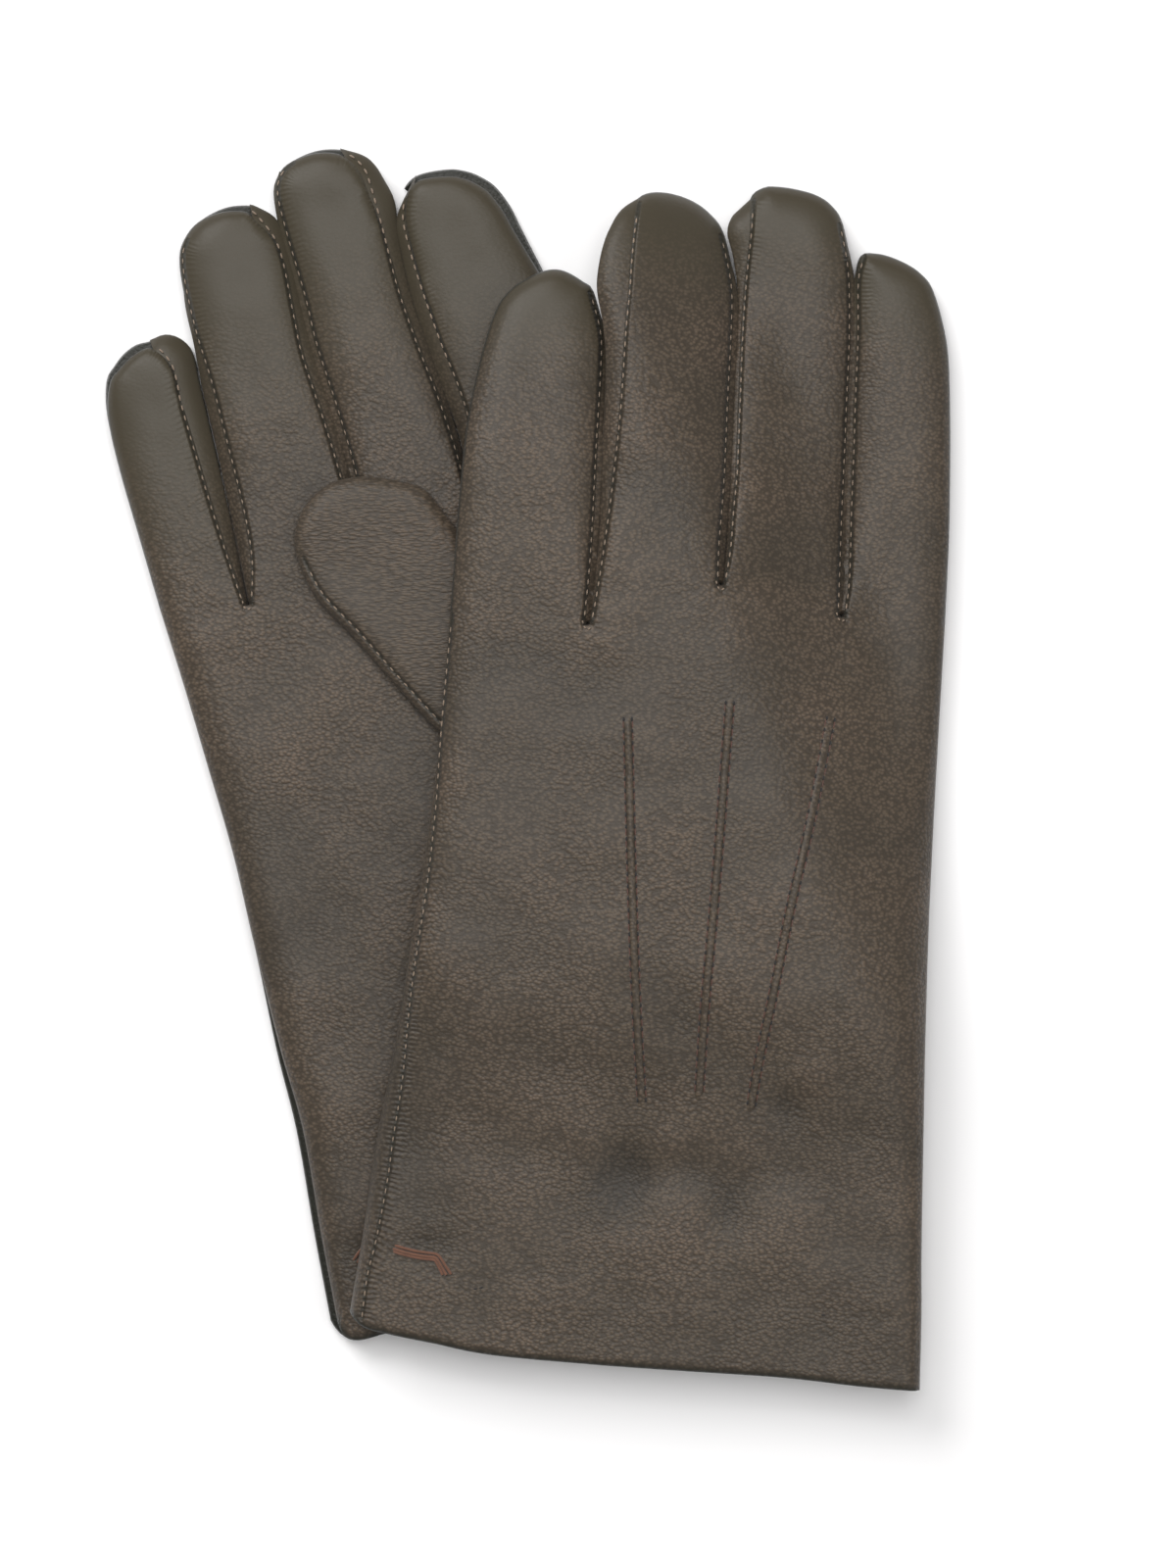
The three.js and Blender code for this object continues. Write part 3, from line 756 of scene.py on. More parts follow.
def stitches(name, rows, height, material, pitch=None, length=0.62, thread=None, sink=0.0):
    """A piece of sewing: a stitch every pitch along each row, laid on the leather."""
    shape, shape_faces = stitch_shape()
    pitch = pitch or sizes().stitch_pitch / MM
    radius = (thread or sizes().thread / MM) / 2
    coords, faces = [], []
    for row in rows:
        run = run_of(row)
        count = int((run[-1] - 0.4 * pitch) / pitch)
        if count < 1:
            continue
        at = 0.5 * pitch + pitch * np.arange(count)
        centre = np.column_stack([np.interp(at, run, row[:, i]) for i in (0, 1)])
        ahead = np.column_stack([np.interp(at + LOOK, run, row[:, i]) for i in (0, 1)])
        behind = np.column_stack([np.interp(at - LOOK, run, row[:, i]) for i in (0, 1)])
        z = height(centre) - sink
        along = np.column_stack([ahead - behind, height(ahead) - height(behind)])
        along /= np.linalg.norm(along, axis=1)[:, None]
        across = np.cross([0, 0, 1.0], along)
        across /= np.linalg.norm(across, axis=1)[:, None]
        up = np.cross(along, across)
        half = 0.5 * length * pitch
        for i in range(count):
            p = shape[:, :1] * half * along[i] + shape[:, 1:2] * radius * across[i] + shape[:, 2:] * radius * up[i]
            start = len(coords) * len(shape)
            coords.append(p + [*centre[i], z[i]])
            faces += [tuple(start + v for v in f) for f in shape_faces]
    piece = piece_of(name, np.vstack(coords), faces, material)
    piece.data.shade_smooth()
    return piece


# ---------------------------------------------------------------- materials

def add(tree, kind, settings=None, inputs=None):
    """Adds a node with its settings. An input given another node's output is linked, and any other value is set."""
    node = tree.nodes.new(kind)
    for key, value in (settings or {}).items():
        setattr(node, key, value)
    for key, value in (inputs or {}).items():
        if isinstance(value, bpy.types.NodeSocket):
            tree.links.new(value, node.inputs[key])
        else:
            node.inputs[key].default_value = value
    return node


def blank(name):
    """A material and its empty node tree, or no tree where the material is already made."""
    material = bpy.data.materials.get(name)
    if material:
        return material, None
    material = bpy.data.materials.new(name)
    material.use_nodes = True
    material.node_tree.nodes.clear()
    return material, material.node_tree


def shade(colour, share=1.0):
    """A colour made lighter or darker, as a socket takes it."""
    return (*(min(1.0, share * part) for part in colour), 1)


# Depths of the leather's relief in millimetres
GRAIN_DEEP, FINE_DEEP, PUCKER_DEEP, GROOVE_DEEP = 0.19, 0.06, 0.22, 0.32
# Distances from a row of sewing, in millimetres, over which the groove and the gathers fade
GROOVE_WIDE, PUCKER_WIDE = 0.75, 3.4


def nappa(ribbed=False):
    """Lamb nappa, drum-dyed and lightly polished: a soft satin skin with a fine pebbled grain, darker where the dye
    pools between the pebbles. Its colour also carries painted shade in the hollows of its relief and a painted warm
    highlight on its crests and in random patches that stand partly for wear. It is smooth at the fingertips, and its
    cut edges are dyed almost black."""
    material, tree = blank("ribbed_nappa" if ribbed else "satin_nappa")
    if tree is None:
        return material
    c = colours()
    where = add(tree, "ShaderNodeTexCoord").outputs["Object"]
    # pebbles are about 0.5 mm on the real skin, drawn a little coarser so that they show
    pebble = 1 / sizes().grain
    lay = add(tree, "ShaderNodeMapping", {}, {"Vector": where, "Rotation": (0, 0, -0.25 if ribbed else 0.5),
                                              "Scale": (0.5, 1.5, 1.0) if ribbed else (0.8, 1.1, 1.0)}).outputs[0]
    warp = add(tree, "ShaderNodeTexNoise", {}, {"Vector": lay, "Scale": pebble * 0.5, "Detail": 2.0}).outputs["Color"]
    bent = add(tree, "ShaderNodeVectorMath", {"operation": "MULTIPLY_ADD"},
               {0: warp, 1: (0.35 * MM,) * 3, 2: lay}).outputs[0]
    cells = add(tree, "ShaderNodeTexVoronoi", {"feature": "SMOOTH_F1"},
                {"Vector": bent, "Scale": pebble, "Smoothness": 0.3}).outputs["Distance"]
    fine = add(tree, "ShaderNodeTexNoise", {}, {"Vector": lay, "Scale": pebble * 1.7, "Detail": 3.0,
                                                "Roughness": 0.6}).outputs[0]
    broad = add(tree, "ShaderNodeTexNoise", {}, {"Vector": where, "Scale": 26.0, "Detail": 3.0,
                                                 "Roughness": 0.5}).outputs[0]
    patch = add(tree, "ShaderNodeTexNoise", {}, {"Vector": where, "Scale": 55.0, "Detail": 2.0,
                                                 "Roughness": 0.5}).outputs[0]

    gap, run, gather, cut, crest, polish = (
        add(tree, "ShaderNodeAttribute", {"attribute_name": key}).outputs["Fac"]
        for key in ("seam_gap", "seam_run", "gather", "cut_gap", "crest", "polish"))

    # the grain is deeper in some patches than in others, and fades at the fingertips
    patchy = add(tree, "ShaderNodeMapRange", {}, {"Value": patch, "From Min": 0.35, "From Max": 0.65, "To Min": 0.35,
                                                  "To Max": 1.0}).outputs[0]
    kept = add(tree, "ShaderNodeMapRange", {}, {"Value": polish, "To Min": 1.0, "To Max": 0.12}).outputs[0]
    depth = add(tree, "ShaderNodeMath", {"operation": "MULTIPLY"}, {0: patchy, 1: kept}).outputs[0]

    # a groove under each row of sewing, and gathers two to a stitch
    groove = add(tree, "ShaderNodeMapRange", {"interpolation_type": "SMOOTHSTEP"},
                 {"Value": gap, "From Max": GROOVE_WIDE, "To Min": 1.0, "To Max": 0.0}).outputs[0]
    wander = add(tree, "ShaderNodeMath", {"operation": "MULTIPLY_ADD"}, {0: broad, 1: 14.0, 2: run}).outputs[0]
    turns = add(tree, "ShaderNodeMath", {"operation": "MULTIPLY"}, {0: wander,
                                                                    1: 2 * math.tau * MM / sizes().stitch_pitch}).outputs[0]
    wave = add(tree, "ShaderNodeMath", {"operation": "SINE"}, {0: turns}).outputs[0]
    fade = add(tree, "ShaderNodeMapRange", {}, {"Value": gap, "From Max": PUCKER_WIDE, "To Min": 1.0,
                                                "To Max": 0.0}).outputs[0]
    reach = add(tree, "ShaderNodeMath", {"operation": "MULTIPLY"}, {0: fade, 1: gather}).outputs[0]
    uneven = add(tree, "ShaderNodeMath", {"operation": "MULTIPLY"}, {0: reach, 1: patch}).outputs[0]
    pucker = add(tree, "ShaderNodeMath", {"operation": "MULTIPLY"}, {0: wave, 1: uneven}).outputs[0]

    grain = add(tree, "ShaderNodeMath", {"operation": "MULTIPLY"}, {0: cells, 1: depth}).outputs[0]
    soft = add(tree, "ShaderNodeMath", {"operation": "MULTIPLY"}, {0: fine, 1: kept}).outputs[0]
    skin_relief = add(tree, "ShaderNodeMath", {"operation": "MULTIPLY"}, {0: soft, 1: FINE_DEEP}).outputs[0]
    pebbled = add(tree, "ShaderNodeMath", {"operation": "MULTIPLY_ADD"},
                  {0: grain, 1: -GRAIN_DEEP, 2: skin_relief}).outputs[0]
    gathered = add(tree, "ShaderNodeMath", {"operation": "MULTIPLY_ADD"},
                   {0: pucker, 1: PUCKER_DEEP, 2: pebbled}).outputs[0]
    relief = add(tree, "ShaderNodeMath", {"operation": "MULTIPLY_ADD"},
                 {0: groove, 1: -GROOVE_DEEP, 2: gathered}).outputs[0]
    bump = add(tree, "ShaderNodeBump", {}, {"Strength": 1.0, "Distance": 1 * MM, "Height": relief}).outputs[0]

    # colour: random tone, with painted shade in the relief's hollows and painted light on its crests; warm in random
    # patches and on crests, partly wear and partly painted highlight; darker where the dye pools between the pebbles
    tone = add(tree, "ShaderNodeMapRange", {}, {"Value": broad, "From Min": 0.3, "From Max": 0.7, "To Min": 0.25,
                                                "To Max": 0.95}).outputs[0]
    # the relief's height lightens this colour and its hollows darken it: painted light and shade on top of the random
    # tone
    level = add(tree, "ShaderNodeMath", {"operation": "MULTIPLY_ADD", "use_clamp": True},
                {0: crest, 1: 0.55, 2: tone}).outputs[0]
    dyed = add(tree, "ShaderNodeMix", {"data_type": "RGBA"}, {0: level, 6: shade(c.leather_dark_and_shade),
                                                              7: shade(c.leather)}).outputs[2]
    # random warm patches, partly wear and partly a painted highlight of glinting pebble tops, made stronger on crests
    # below
    rub_and_glint_patch = add(tree, "ShaderNodeMapRange", {}, {"Value": patch, "From Min": 0.45, "From Max": 0.75,
                                               "To Max": 0.4}).outputs[0]
    wear_and_highlight = add(tree, "ShaderNodeMath", {"operation": "MULTIPLY_ADD", "use_clamp": True},
               {0: crest, 1: 0.4, 2: rub_and_glint_patch}).outputs[0]
    rubbed_and_highlit = add(tree, "ShaderNodeMix", {"data_type": "RGBA"}, {0: wear_and_highlight, 6: dyed,
                                                                7: shade(c.leather_warm_highlight)}).outputs[2]
    between = add(tree, "ShaderNodeMapRange", {}, {"Value": cells, "From Min": 0.22, "From Max": 0.62, "To Min": 0.0,
                                                   "To Max": 0.72}).outputs[0]
    # painted shade: the dents of the modelling are darkened further
    hollow = add(tree, "ShaderNodeMapRange", {}, {"Value": crest, "From Min": -1.5, "From Max": -0.35, "To Min": 0.5,
                                                  "To Max": 0.0}).outputs[0]
    dye_pool_and_hollow_shade = add(tree, "ShaderNodeMath", {"operation": "ADD", "use_clamp": True}, {0: between, 1: hollow}).outputs[0]
    pooled_and_shaded = add(tree, "ShaderNodeMix", {"data_type": "RGBA"}, {0: dye_pool_and_hollow_shade, 6: rubbed_and_highlit,
                                                                7: shade(c.leather_dark_and_shade, 0.45)}).outputs[2]
    pressed = add(tree, "ShaderNodeMix", {"data_type": "RGBA"}, {0: polish, 6: pooled_and_shaded,
                                                                 7: shade(c.leather_smooth)}).outputs[2]
    cut_edge = add(tree, "ShaderNodeMapRange", {}, {"Value": cut, "From Min": 0.08, "From Max": 0.6, "To Min": 1.0,
                                                    "To Max": 0.0}).outputs[0]
    # painted shade: the groove under each row of sewing is darkened towards the cut edge's near-black
    deep = add(tree, "ShaderNodeMath", {"operation": "MULTIPLY"}, {0: groove, 1: 0.75}).outputs[0]
    dark = add(tree, "ShaderNodeMath", {"operation": "MAXIMUM"}, {0: cut_edge, 1: deep}).outputs[0]
    colour = add(tree, "ShaderNodeMix", {"data_type": "RGBA"}, {0: dark, 6: pressed, 7: shade(c.raw_edge)}).outputs[2]
    gloss = add(tree, "ShaderNodeMapRange", {}, {"Value": fine, "To Min": 0.38, "To Max": 0.52}).outputs[0]
    skin = add(tree, "ShaderNodeBsdfPrincipled", {}, {"Base Color": colour, "Roughness": gloss, "Normal": bump,
                                                      "IOR": 1.45,
                                                      "Specular IOR Level": 0.33, "Sheen Weight": 0.05,
                                                      "Sheen Roughness": 0.5})
    add(tree, "ShaderNodeOutputMaterial", {}, {"Surface": skin.outputs[0]})
    return material


# A wave texture of scale s repeats every WAVE / s metres
WAVE = 0.314


def knit():
    """Fine knitted viscose lining: matt, with ribs about 0.9 mm apart that run up the hand and loops 0.7 mm tall."""
    material, tree = blank("knitted_lining_fabric")
    if tree is None:
        return material
    where = add(tree, "ShaderNodeTexCoord").outputs["Object"]
    ribs = add(tree, "ShaderNodeTexWave", {"wave_type": "BANDS", "bands_direction": "X"},
               {"Vector": where, "Scale": WAVE / (0.9 * MM), "Distortion": 1.2, "Detail": 1.0}).outputs["Fac"]
    rows = add(tree, "ShaderNodeTexWave", {"wave_type": "BANDS", "bands_direction": "Y"},
               {"Vector": where, "Scale": WAVE / (0.7 * MM), "Distortion": 0.8, "Detail": 1.0}).outputs["Fac"]
    loop = add(tree, "ShaderNodeMath", {"operation": "MULTIPLY"}, {0: ribs, 1: rows}).outputs[0]
    colour = add(tree, "ShaderNodeMix", {"data_type": "RGBA"},
                 {0: loop, 6: shade(colours().lining, 0.5), 7: shade(colours().lining, 1.5)}).outputs[2]
    bump = add(tree, "ShaderNodeBump", {}, {"Strength": 1.0, "Distance": 0.25 * MM, "Height": loop}).outputs[0]
    cloth = add(tree, "ShaderNodeBsdfPrincipled", {}, {"Base Color": colour, "Normal": bump, "Roughness": 0.85,
                                                       "Sheen Weight": 0.25})
    add(tree, "ShaderNodeOutputMaterial", {}, {"Surface": cloth.outputs[0]})
    return material


# Each thread's material and how rough it is. The prick entry is painted shade: near-black marks in the needle holes of
# the points.
THREADS = {"seam": ("spun_seam_thread", 0.6), "point": ("twisted_point_thread", 0.5),
           "prick": ("waxed_prick_thread", 0.7), "tack": ("cotton_tack_thread", 0.8)}


def spun(use):
    """Spun polyester, silk or cotton sewing thread: a low sheen, with plies about 0.25 mm apart."""
    name, roughness = THREADS[use]
    material, tree = blank(name)
    if tree is None:
        return material
    colour = getattr(colours(), use)
    where = add(tree, "ShaderNodeTexCoord").outputs["Object"]
    lay = add(tree, "ShaderNodeMapping", {}, {"Vector": where, "Rotation": (0, 0, 0.7)}).outputs[0]
    plies = add(tree, "ShaderNodeTexWave", {}, {"Vector": lay, "Scale": WAVE / (0.25 * MM),
                                                "Distortion": 1.0}).outputs["Fac"]
    fuzz = add(tree, "ShaderNodeTexNoise", {}, {"Vector": where, "Scale": 900.0, "Detail": 2.0}).outputs["Fac"]
    amount = add(tree, "ShaderNodeMath", {"operation": "MULTIPLY"}, {0: plies, 1: fuzz}).outputs[0]
    tone = add(tree, "ShaderNodeMix", {"data_type": "RGBA"}, {0: amount, 6: shade(colour, 0.6),
                                                              7: shade(colour, 1.6)}).outputs[2]
    bump = add(tree, "ShaderNodeBump", {}, {"Strength": 0.7, "Distance": 0.08 * MM, "Height": plies}).outputs[0]
    thread = add(tree, "ShaderNodeBsdfPrincipled", {}, {"Base Color": tone, "Normal": bump, "Roughness": roughness,
                                                        "Sheen Weight": 0.2})
    add(tree, "ShaderNodeOutputMaterial", {}, {"Surface": thread.outputs[0]})
    return material


# ---------------------------------------------------------------- riding

# How far before and after the flex line a finger's bend would reach, in millimetres, and how high its middle lies
FLEX_FROM, FLEX_TO, FLEX_HIGH = -4.0, 8.0, 4.2


def bend(piece, glove, finger):
    """Bakes a finger's piece into place in the frame. It works out where the finger's flex line lies, but the piece is
    neither joined to its hand nor bent.
    """
    axis = axis_of(glove)
    middle = np.array(glove[finger]["tip"]).mean(0)
    flex = glove[finger]["flex"]
    base = middle - axis * (middle @ axis - flex)
    height = float(rest_height(glove, base[None], finger)[0]) + FLEX_HIGH
    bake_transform(piece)


# ---------------------------------------------------------------- operators

# The cuff's mouth goes this far up the hand and stays this far inside its sides, and its lining reaches from and to
MOUTH_DEEP, MOUTH_MARGIN, LINING_FROM, LINING_TO = 70.0, 1.6, 11.0, 66.0
# Over what distance a hollow closes to each side, to the mouth's end and to the lining's end
SIDE_CLOSE, MOUTH_CLOSE, BAG_CLOSE = 3.0, 6.0, 5.0
# How much slower the darkening along the cuff's rolled edge fades than that along cut edges
CUFF_EDGE_DARK = 0.4
# How close a point is to a line that it lies on
ON_LINE = 0.05


def hand_outline(glove):
    """The hand's outline, anticlockwise from the left of the cuff. Its top runs through the crotches."""
    tops = [straight(*glove["crotches"][i:i + 2]) for i in range(4)]
    top = np.vstack([t[:-1] for t in tops] + [tops[-1][-1:]])
    return np.vstack([glove["cuff_line"][:-1], glove["right_line"][:-1], top[::-1][:-1],
                      glove["left_line"][::-1][:-1]])


def build_hand(glove):
    """The hand's leather with its open cuff, and the hem and the lining inside it."""
    side = glove["side"]
    outline = hand_outline(glove)
    heights = faces_of(glove)
    wall = sizes().leather / MM

    def from_sides(points):
        return np.minimum(*(nearest(points, glove[line])[0] for line in ("left_line", "right_line")))

    def mouth(points):
        deep, from_side = nearest(points, glove["cuff_line"])[0], from_sides(points)
        taper = bulge((from_side - MOUTH_MARGIN) / SIDE_CLOSE) * bulge((MOUTH_DEEP - deep) / MOUTH_CLOSE)
        return (*drawn_in(*heights(points), wall, taper), (from_side > MOUTH_MARGIN) & (deep < MOUTH_DEEP))

    def at_cuff(point):
        return nearest(point[None], glove["cuff_line"])[0][0] < ON_LINE

    rows = [row for owner, row in glove["rows"] if owner == "hand"]
    skin = leather_form(side + "_hand_skin", outline, heights, nappa(), rows=rows, spacing=1.5, cavity=mouth,
                        mouth=at_cuff, marks=sewing_marks(all_rows(glove), glove["cuff_line"], CUFF_EDGE_DARK, glove))
    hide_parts(side + "_hand_trank")
    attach(skin, side + "_hand")

    def band(start, stop, margin):
        """Outline of a strip along the cuff, with its near and its far line."""
        near, far = (line[(from_sides(line) > margin) & inside(line, outline)]
                     for line in (offset(glove["cuff_line"], start), offset(glove["cuff_line"], stop)))
        left, right = straight(far[0], near[0])[1:-1], straight(near[-1], far[-1])[1:-1]
        return np.vstack([near, right, far[::-1], left]), near, far

    for part, start, stop, cover, depth, thick, closed_end, material in (
            ("hem", 0.25, HEM_DEEP, 1.9, wall + 0.05, wall, False, nappa()),
            ("hand_lining", LINING_FROM, LINING_TO, 3.0, 2 * wall + 0.15, 0.6, True, knit())):
        shape, near, far = band(start, stop, cover + 0.1)

        def outer_faces(points):
            return drawn_in(*heights(points), depth, bulge((from_sides(points) - cover) / SIDE_CLOSE))

        def pocket(points):
            from_side = from_sides(points) - cover - thick
            taper, within = bulge(from_side / SIDE_CLOSE), from_side > 0
            if closed_end:
                from_end = nearest(points, far)[0] - thick
                taper, within = taper * bulge(from_end / BAG_CLOSE), within & (from_end > 0)
            return (*drawn_in(*heights(points), depth + thick, taper), within)

        def open_end(point):
            ends = (near,) if closed_end else (near, far)
            return any(nearest(point[None], end)[0][0] < ON_LINE for end in ends)

        piece = leather_form(side + "_inner_" + part, shape, outer_faces, material, spacing=2.2, cavity=pocket,
                             mouth=open_end)
        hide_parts(side + "_" + part)
        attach(piece, side + "_hand")


# Where the back of a right finger shows past its front at the tip: the place, its reach and how far
BACK_SHOWS = {"little": ((-98, 93.5), 12, 1.8), "ring": ((-71, 123.5), 9, 1.7), "middle": ((-46, 132), 13, 1.7),
              "index": ((-20, 129), 26, 2.0)}


def finger_panel(glove, name):
    """Outline of a finger's top panel, from the root line up its left side and down its right."""
    i = FINGERS.index(name)
    root = straight(*glove["crotches"][i:i + 2])
    edge = finger_outline(glove, name, False)
    if name in BACK_SHOWS and glove["side"] == "right":
        (x, y), reach, deep = BACK_SHOWS[name]
        edge = offset(edge, -deep * np.exp(-(((edge - (x, y))**2).sum(1)) / reach**2))
    return np.vstack([edge[:-1], root[::-1][:-1]]), edge


# How far in a panel's edge rolls. The lining lies this far inside its edge and its faces, and rolls over this width.
PANEL_ROLL, BAG_INSET, BAG_DEEP, BAG_ROLL = 0.9, 2.6, 1.2, 3.5


def build_finger(glove, name):
    """A finger's panel of leather with the knitted lining inside it."""
    side = glove["side"]
    outline, edge = finger_panel(glove, name)
    own = faces_of(glove, name)

    def heights(points):
        return drawn_in(*own(points), 0, bulge(nearest(points, edge)[0] / PANEL_ROLL))

    rows = [row for owner, row in glove["rows"] if owner == name]
    panel = leather_form(side + "_" + name + "_panel", outline, heights, nappa(), rows=rows, spacing=1.4,
                         marks=sewing_marks(all_rows(glove), edge, 1.0, glove, name))
    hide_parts(side + "_" + name + "_stall")
    bend(panel, glove, name)

    core = offset(edge, -BAG_INSET)[3:-3]
    core = core[nearest(core, edge)[0] > BAG_INSET - 0.3]

    def lining_heights(points):
        return drawn_in(*own(points), BAG_DEEP, bulge(nearest(points, closed_of(core))[0] / BAG_ROLL))

    lining = leather_form(side + "_" + name + "_inside", core, lining_heights, knit(), spacing=3.0)
    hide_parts(side + "_" + name + "_lining")
    bend(lining, glove, name)


STRIPS = [("little", "right", "little_fourchette"), ("ring", "left", "ring_fourchette_outer"),
          ("ring", "right", "ring_fourchette_inner"), ("middle", "left", "middle_fourchette_outer"),
          ("middle", "right", "middle_fourchette_inner"), ("index", "left", "index_fourchette")]


# A side wall lies a step below its panel, goes in under it and rolls over a width. Where it hardly shows it still
# closes the gap to the next finger.
LAP_STEP, WALL_SLIM, WALL_PAST, WALL_TAPER = 0.55, 0.9, 1.0, 20.0
WALL_UNDER, WALL_ROLL = 2.4, 1.2


def build_fourchette(glove, finger, which, node):
    """The strip of leather that walls one side of a finger and shows past the edge of its panel."""
    tip = glove[finger]["tip"] if which == "left" else glove[finger]["tip"][::-1]
    edge = spline(side_of(glove, finger, which, False) + tip[:1])
    turn = 1 if which == "left" else -1
    inner = offset(edge, -turn * WALL_UNDER)[1:]
    if "skirt_" + which in glove[finger]:
        outer = spline(side_of(glove, finger, which, True) + tip[1:2])
    else:
        run = run_of(edge)
        outer = offset(edge, turn * WALL_PAST * smooth((run[-1] - run - 1) / WALL_TAPER))
    outline = np.vstack([outer, inner[::-1]])
    own = faces_of(glove, finger)

    def heights(points):
        top, low = own(points)
        middle = (top + low) / 2
        steep = bulge((nearest(points, outer)[0] + 0.02) / WALL_ROLL)
        return (middle + np.maximum(top - middle - LAP_STEP, WALL_SLIM) * steep,
                middle + np.minimum(low - middle + LAP_STEP, -WALL_SLIM) * steep)

    piece = leather_form(glove["side"] + "_" + finger + "_" + which + "_wall", outline, heights, nappa(), spacing=1.3,
                         marks=sewing_marks(glove=glove, finger=finger))
    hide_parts(glove["side"] + "_" + node)
    bend(piece, glove, finger)


# How high a folded thumb lies, how wide its edge rolls, how much it swells, and how much flatter the hidden one is
THUMB_LIFT, THUMB_ROLL, THUMB_SWELL, THUMB_PRESSED = 8.8, 5.0, 0.25, 1.0


def thumb_heights(glove, line, inset=0.0):
    """The faces of a folded thumb inside a closed line, each moved in by an inset."""
    def heights(points):
        pressed = glove["side"] == "left"
        half = (sizes().thumb_thick / MM - THUMB_PRESSED * pressed) / 2
        full = bulge(nearest(points, line)[0] / THUMB_ROLL)
        middle = THUMB_LIFT + half
        swell = THUMB_SWELL * ripple(points, 24, 5) * (not pressed)
        return middle + full * (half - inset + swell), middle - full * (half - inset)
    return heights


def build_thumb(glove):
    """A folded thumb with its lining and its seam."""
    side = glove["side"]
    closed = spline(glove["thumb"] + glove["thumb"][:1])
    outline = closed[:-1]
    row = spline(glove["thumb_seam"])
    faces = thumb_heights(glove, closed)

    skin = leather_form(side + "_thumb_skin", outline, faces, nappa(ribbed=True), rows=[row], spacing=1.3,
                        marks=sewing_marks([row]))
    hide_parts(side + "_thumb")
    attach(skin, side + "_thumb")
    core = offset(closed, 2.2 if area_of(outline) > 0 else -2.2)[:-1]
    core = core[(nearest(core, closed)[0] > 2.0) & inside(core, outline)]
    lining = leather_form(side + "_thumb_inside", core, thumb_heights(glove, closed_of(core), 0.9), knit(),
                          spacing=3.0)
    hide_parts(side + "_thumb_lining")
    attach(lining, side + "_thumb")
    thread = stitches(side + "_thumb_stitching", [row], lambda p: faces(p)[0], spun("seam"), sink=0.12)
    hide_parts(side + "_thumb_seam_thread")
    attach(thread, side + "_thumb")


class GLOVES_OT_hands(bpy.types.Operator):
    """Cuts the two hands with their turned hems and the lining inside each cuff"""
    bl_idname = "gloves.hands"
    bl_label = "Hands"

    def execute(self, context):
        for glove in (RIGHT, LEFT):
            build_hand(glove)
        return {"FINISHED"}


class GLOVES_OT_fingers(bpy.types.Operator):
    """Closes the eight fingers and sets them on the hands"""
    bl_idname = "gloves.fingers"
    bl_label = "Fingers"

    def execute(self, context):
        for glove in (RIGHT, LEFT):
            for name in FINGERS:
                build_finger(glove, name)
        return {"FINISHED"}


class GLOVES_OT_fourchettes(bpy.types.Operator):
    """Sets the side walls between the fingers"""
    bl_idname = "gloves.fourchettes"
    bl_label = "Fourchettes"

    def execute(self, context):
        for glove in (RIGHT, LEFT):
            for finger, which, node in STRIPS:
                build_fourchette(glove, finger, which, node)
        return {"FINISHED"}


# The part of a finger's outline that the back's edge follows, and how fast its dark dye fades inwards
BACK_FROM, BACK_TO = {"little": 0.3, "ring": 0.3, "middle": 0.3, "index": 0.44}, 0.78
BACK_DARK = 0.08
# How far up the side from the cuff the back shows
SIDE_SHOWS = 98


def build_back_edges(glove):
    """The dark cut edge of the right glove's back, past the palm's leather at the fingertips and down the side."""
    for name in BACK_SHOWS:
        full = glove["outlines"][name][0]
        tip = full[int(len(full) * BACK_FROM[name]):int(len(full) * BACK_TO)]

        def tip_faces(points):
            near = bulge(nearest(points, tip)[0] / 0.8)
            return 1.9 + 1.3 * near, 1.9 - 1.5 * near

        back = leather_form("right_" + name + "_back_edge", tip, tip_faces, nappa(), spacing=2.0,
                            marks=sewing_marks((), closed_of(tip), BACK_DARK))
        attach(back, "right_" + name)
    side = np.vstack([spline(glove["cuff"][:3])[:0:-1], glove["left_line"]])
    run = run_of(side)
    show = 1.5 * smooth(run / 7) * smooth((SIDE_SHOWS - run) / 55)
    keep = run < SIDE_SHOWS
    outer = offset(side, show)[keep]
    inner = offset(side, -3)[keep]
    outline = np.vstack([outer, inner[::-1]])

    def side_faces(points):
        near = bulge(nearest(points, outer)[0] / 0.7)
        return 2.0 + 0.9 * near, 2.0 - 1.2 * near

    back = leather_form("right_side_back_edge", outline, side_faces, nappa(), spacing=1.6,
                        marks=sewing_marks((), outer, BACK_DARK))
    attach(back, "right_hand")


class GLOVES_OT_back_edges(bpy.types.Operator):
    """Lets the right glove's back show as a dark cut edge behind its palm"""
    bl_idname = "gloves.back_edges"
    bl_label = "Back edges"

    def execute(self, context):
        build_back_edges(RIGHT)
        return {"FINISHED"}


class GLOVES_OT_thumbs(bpy.types.Operator):
    """Folds a thumb over or under each hand"""
    bl_idname = "gloves.thumbs"
    bl_label = "Thumbs"

    def execute(self, context):
        for glove in (RIGHT, LEFT):
            build_thumb(glove)
        return {"FINISHED"}


# How far in from its edge the side seam runs on the underside
UNDER_SEAM = 2.2
# The few stitches of the hem that show through
HEM_TICKS = [((-24.2, -106.3), (-21.2, -105.7)), ((26.1, -111.0), (28.3, -111.1)), ((48.9, -111.7), (50.7, -111.8))]


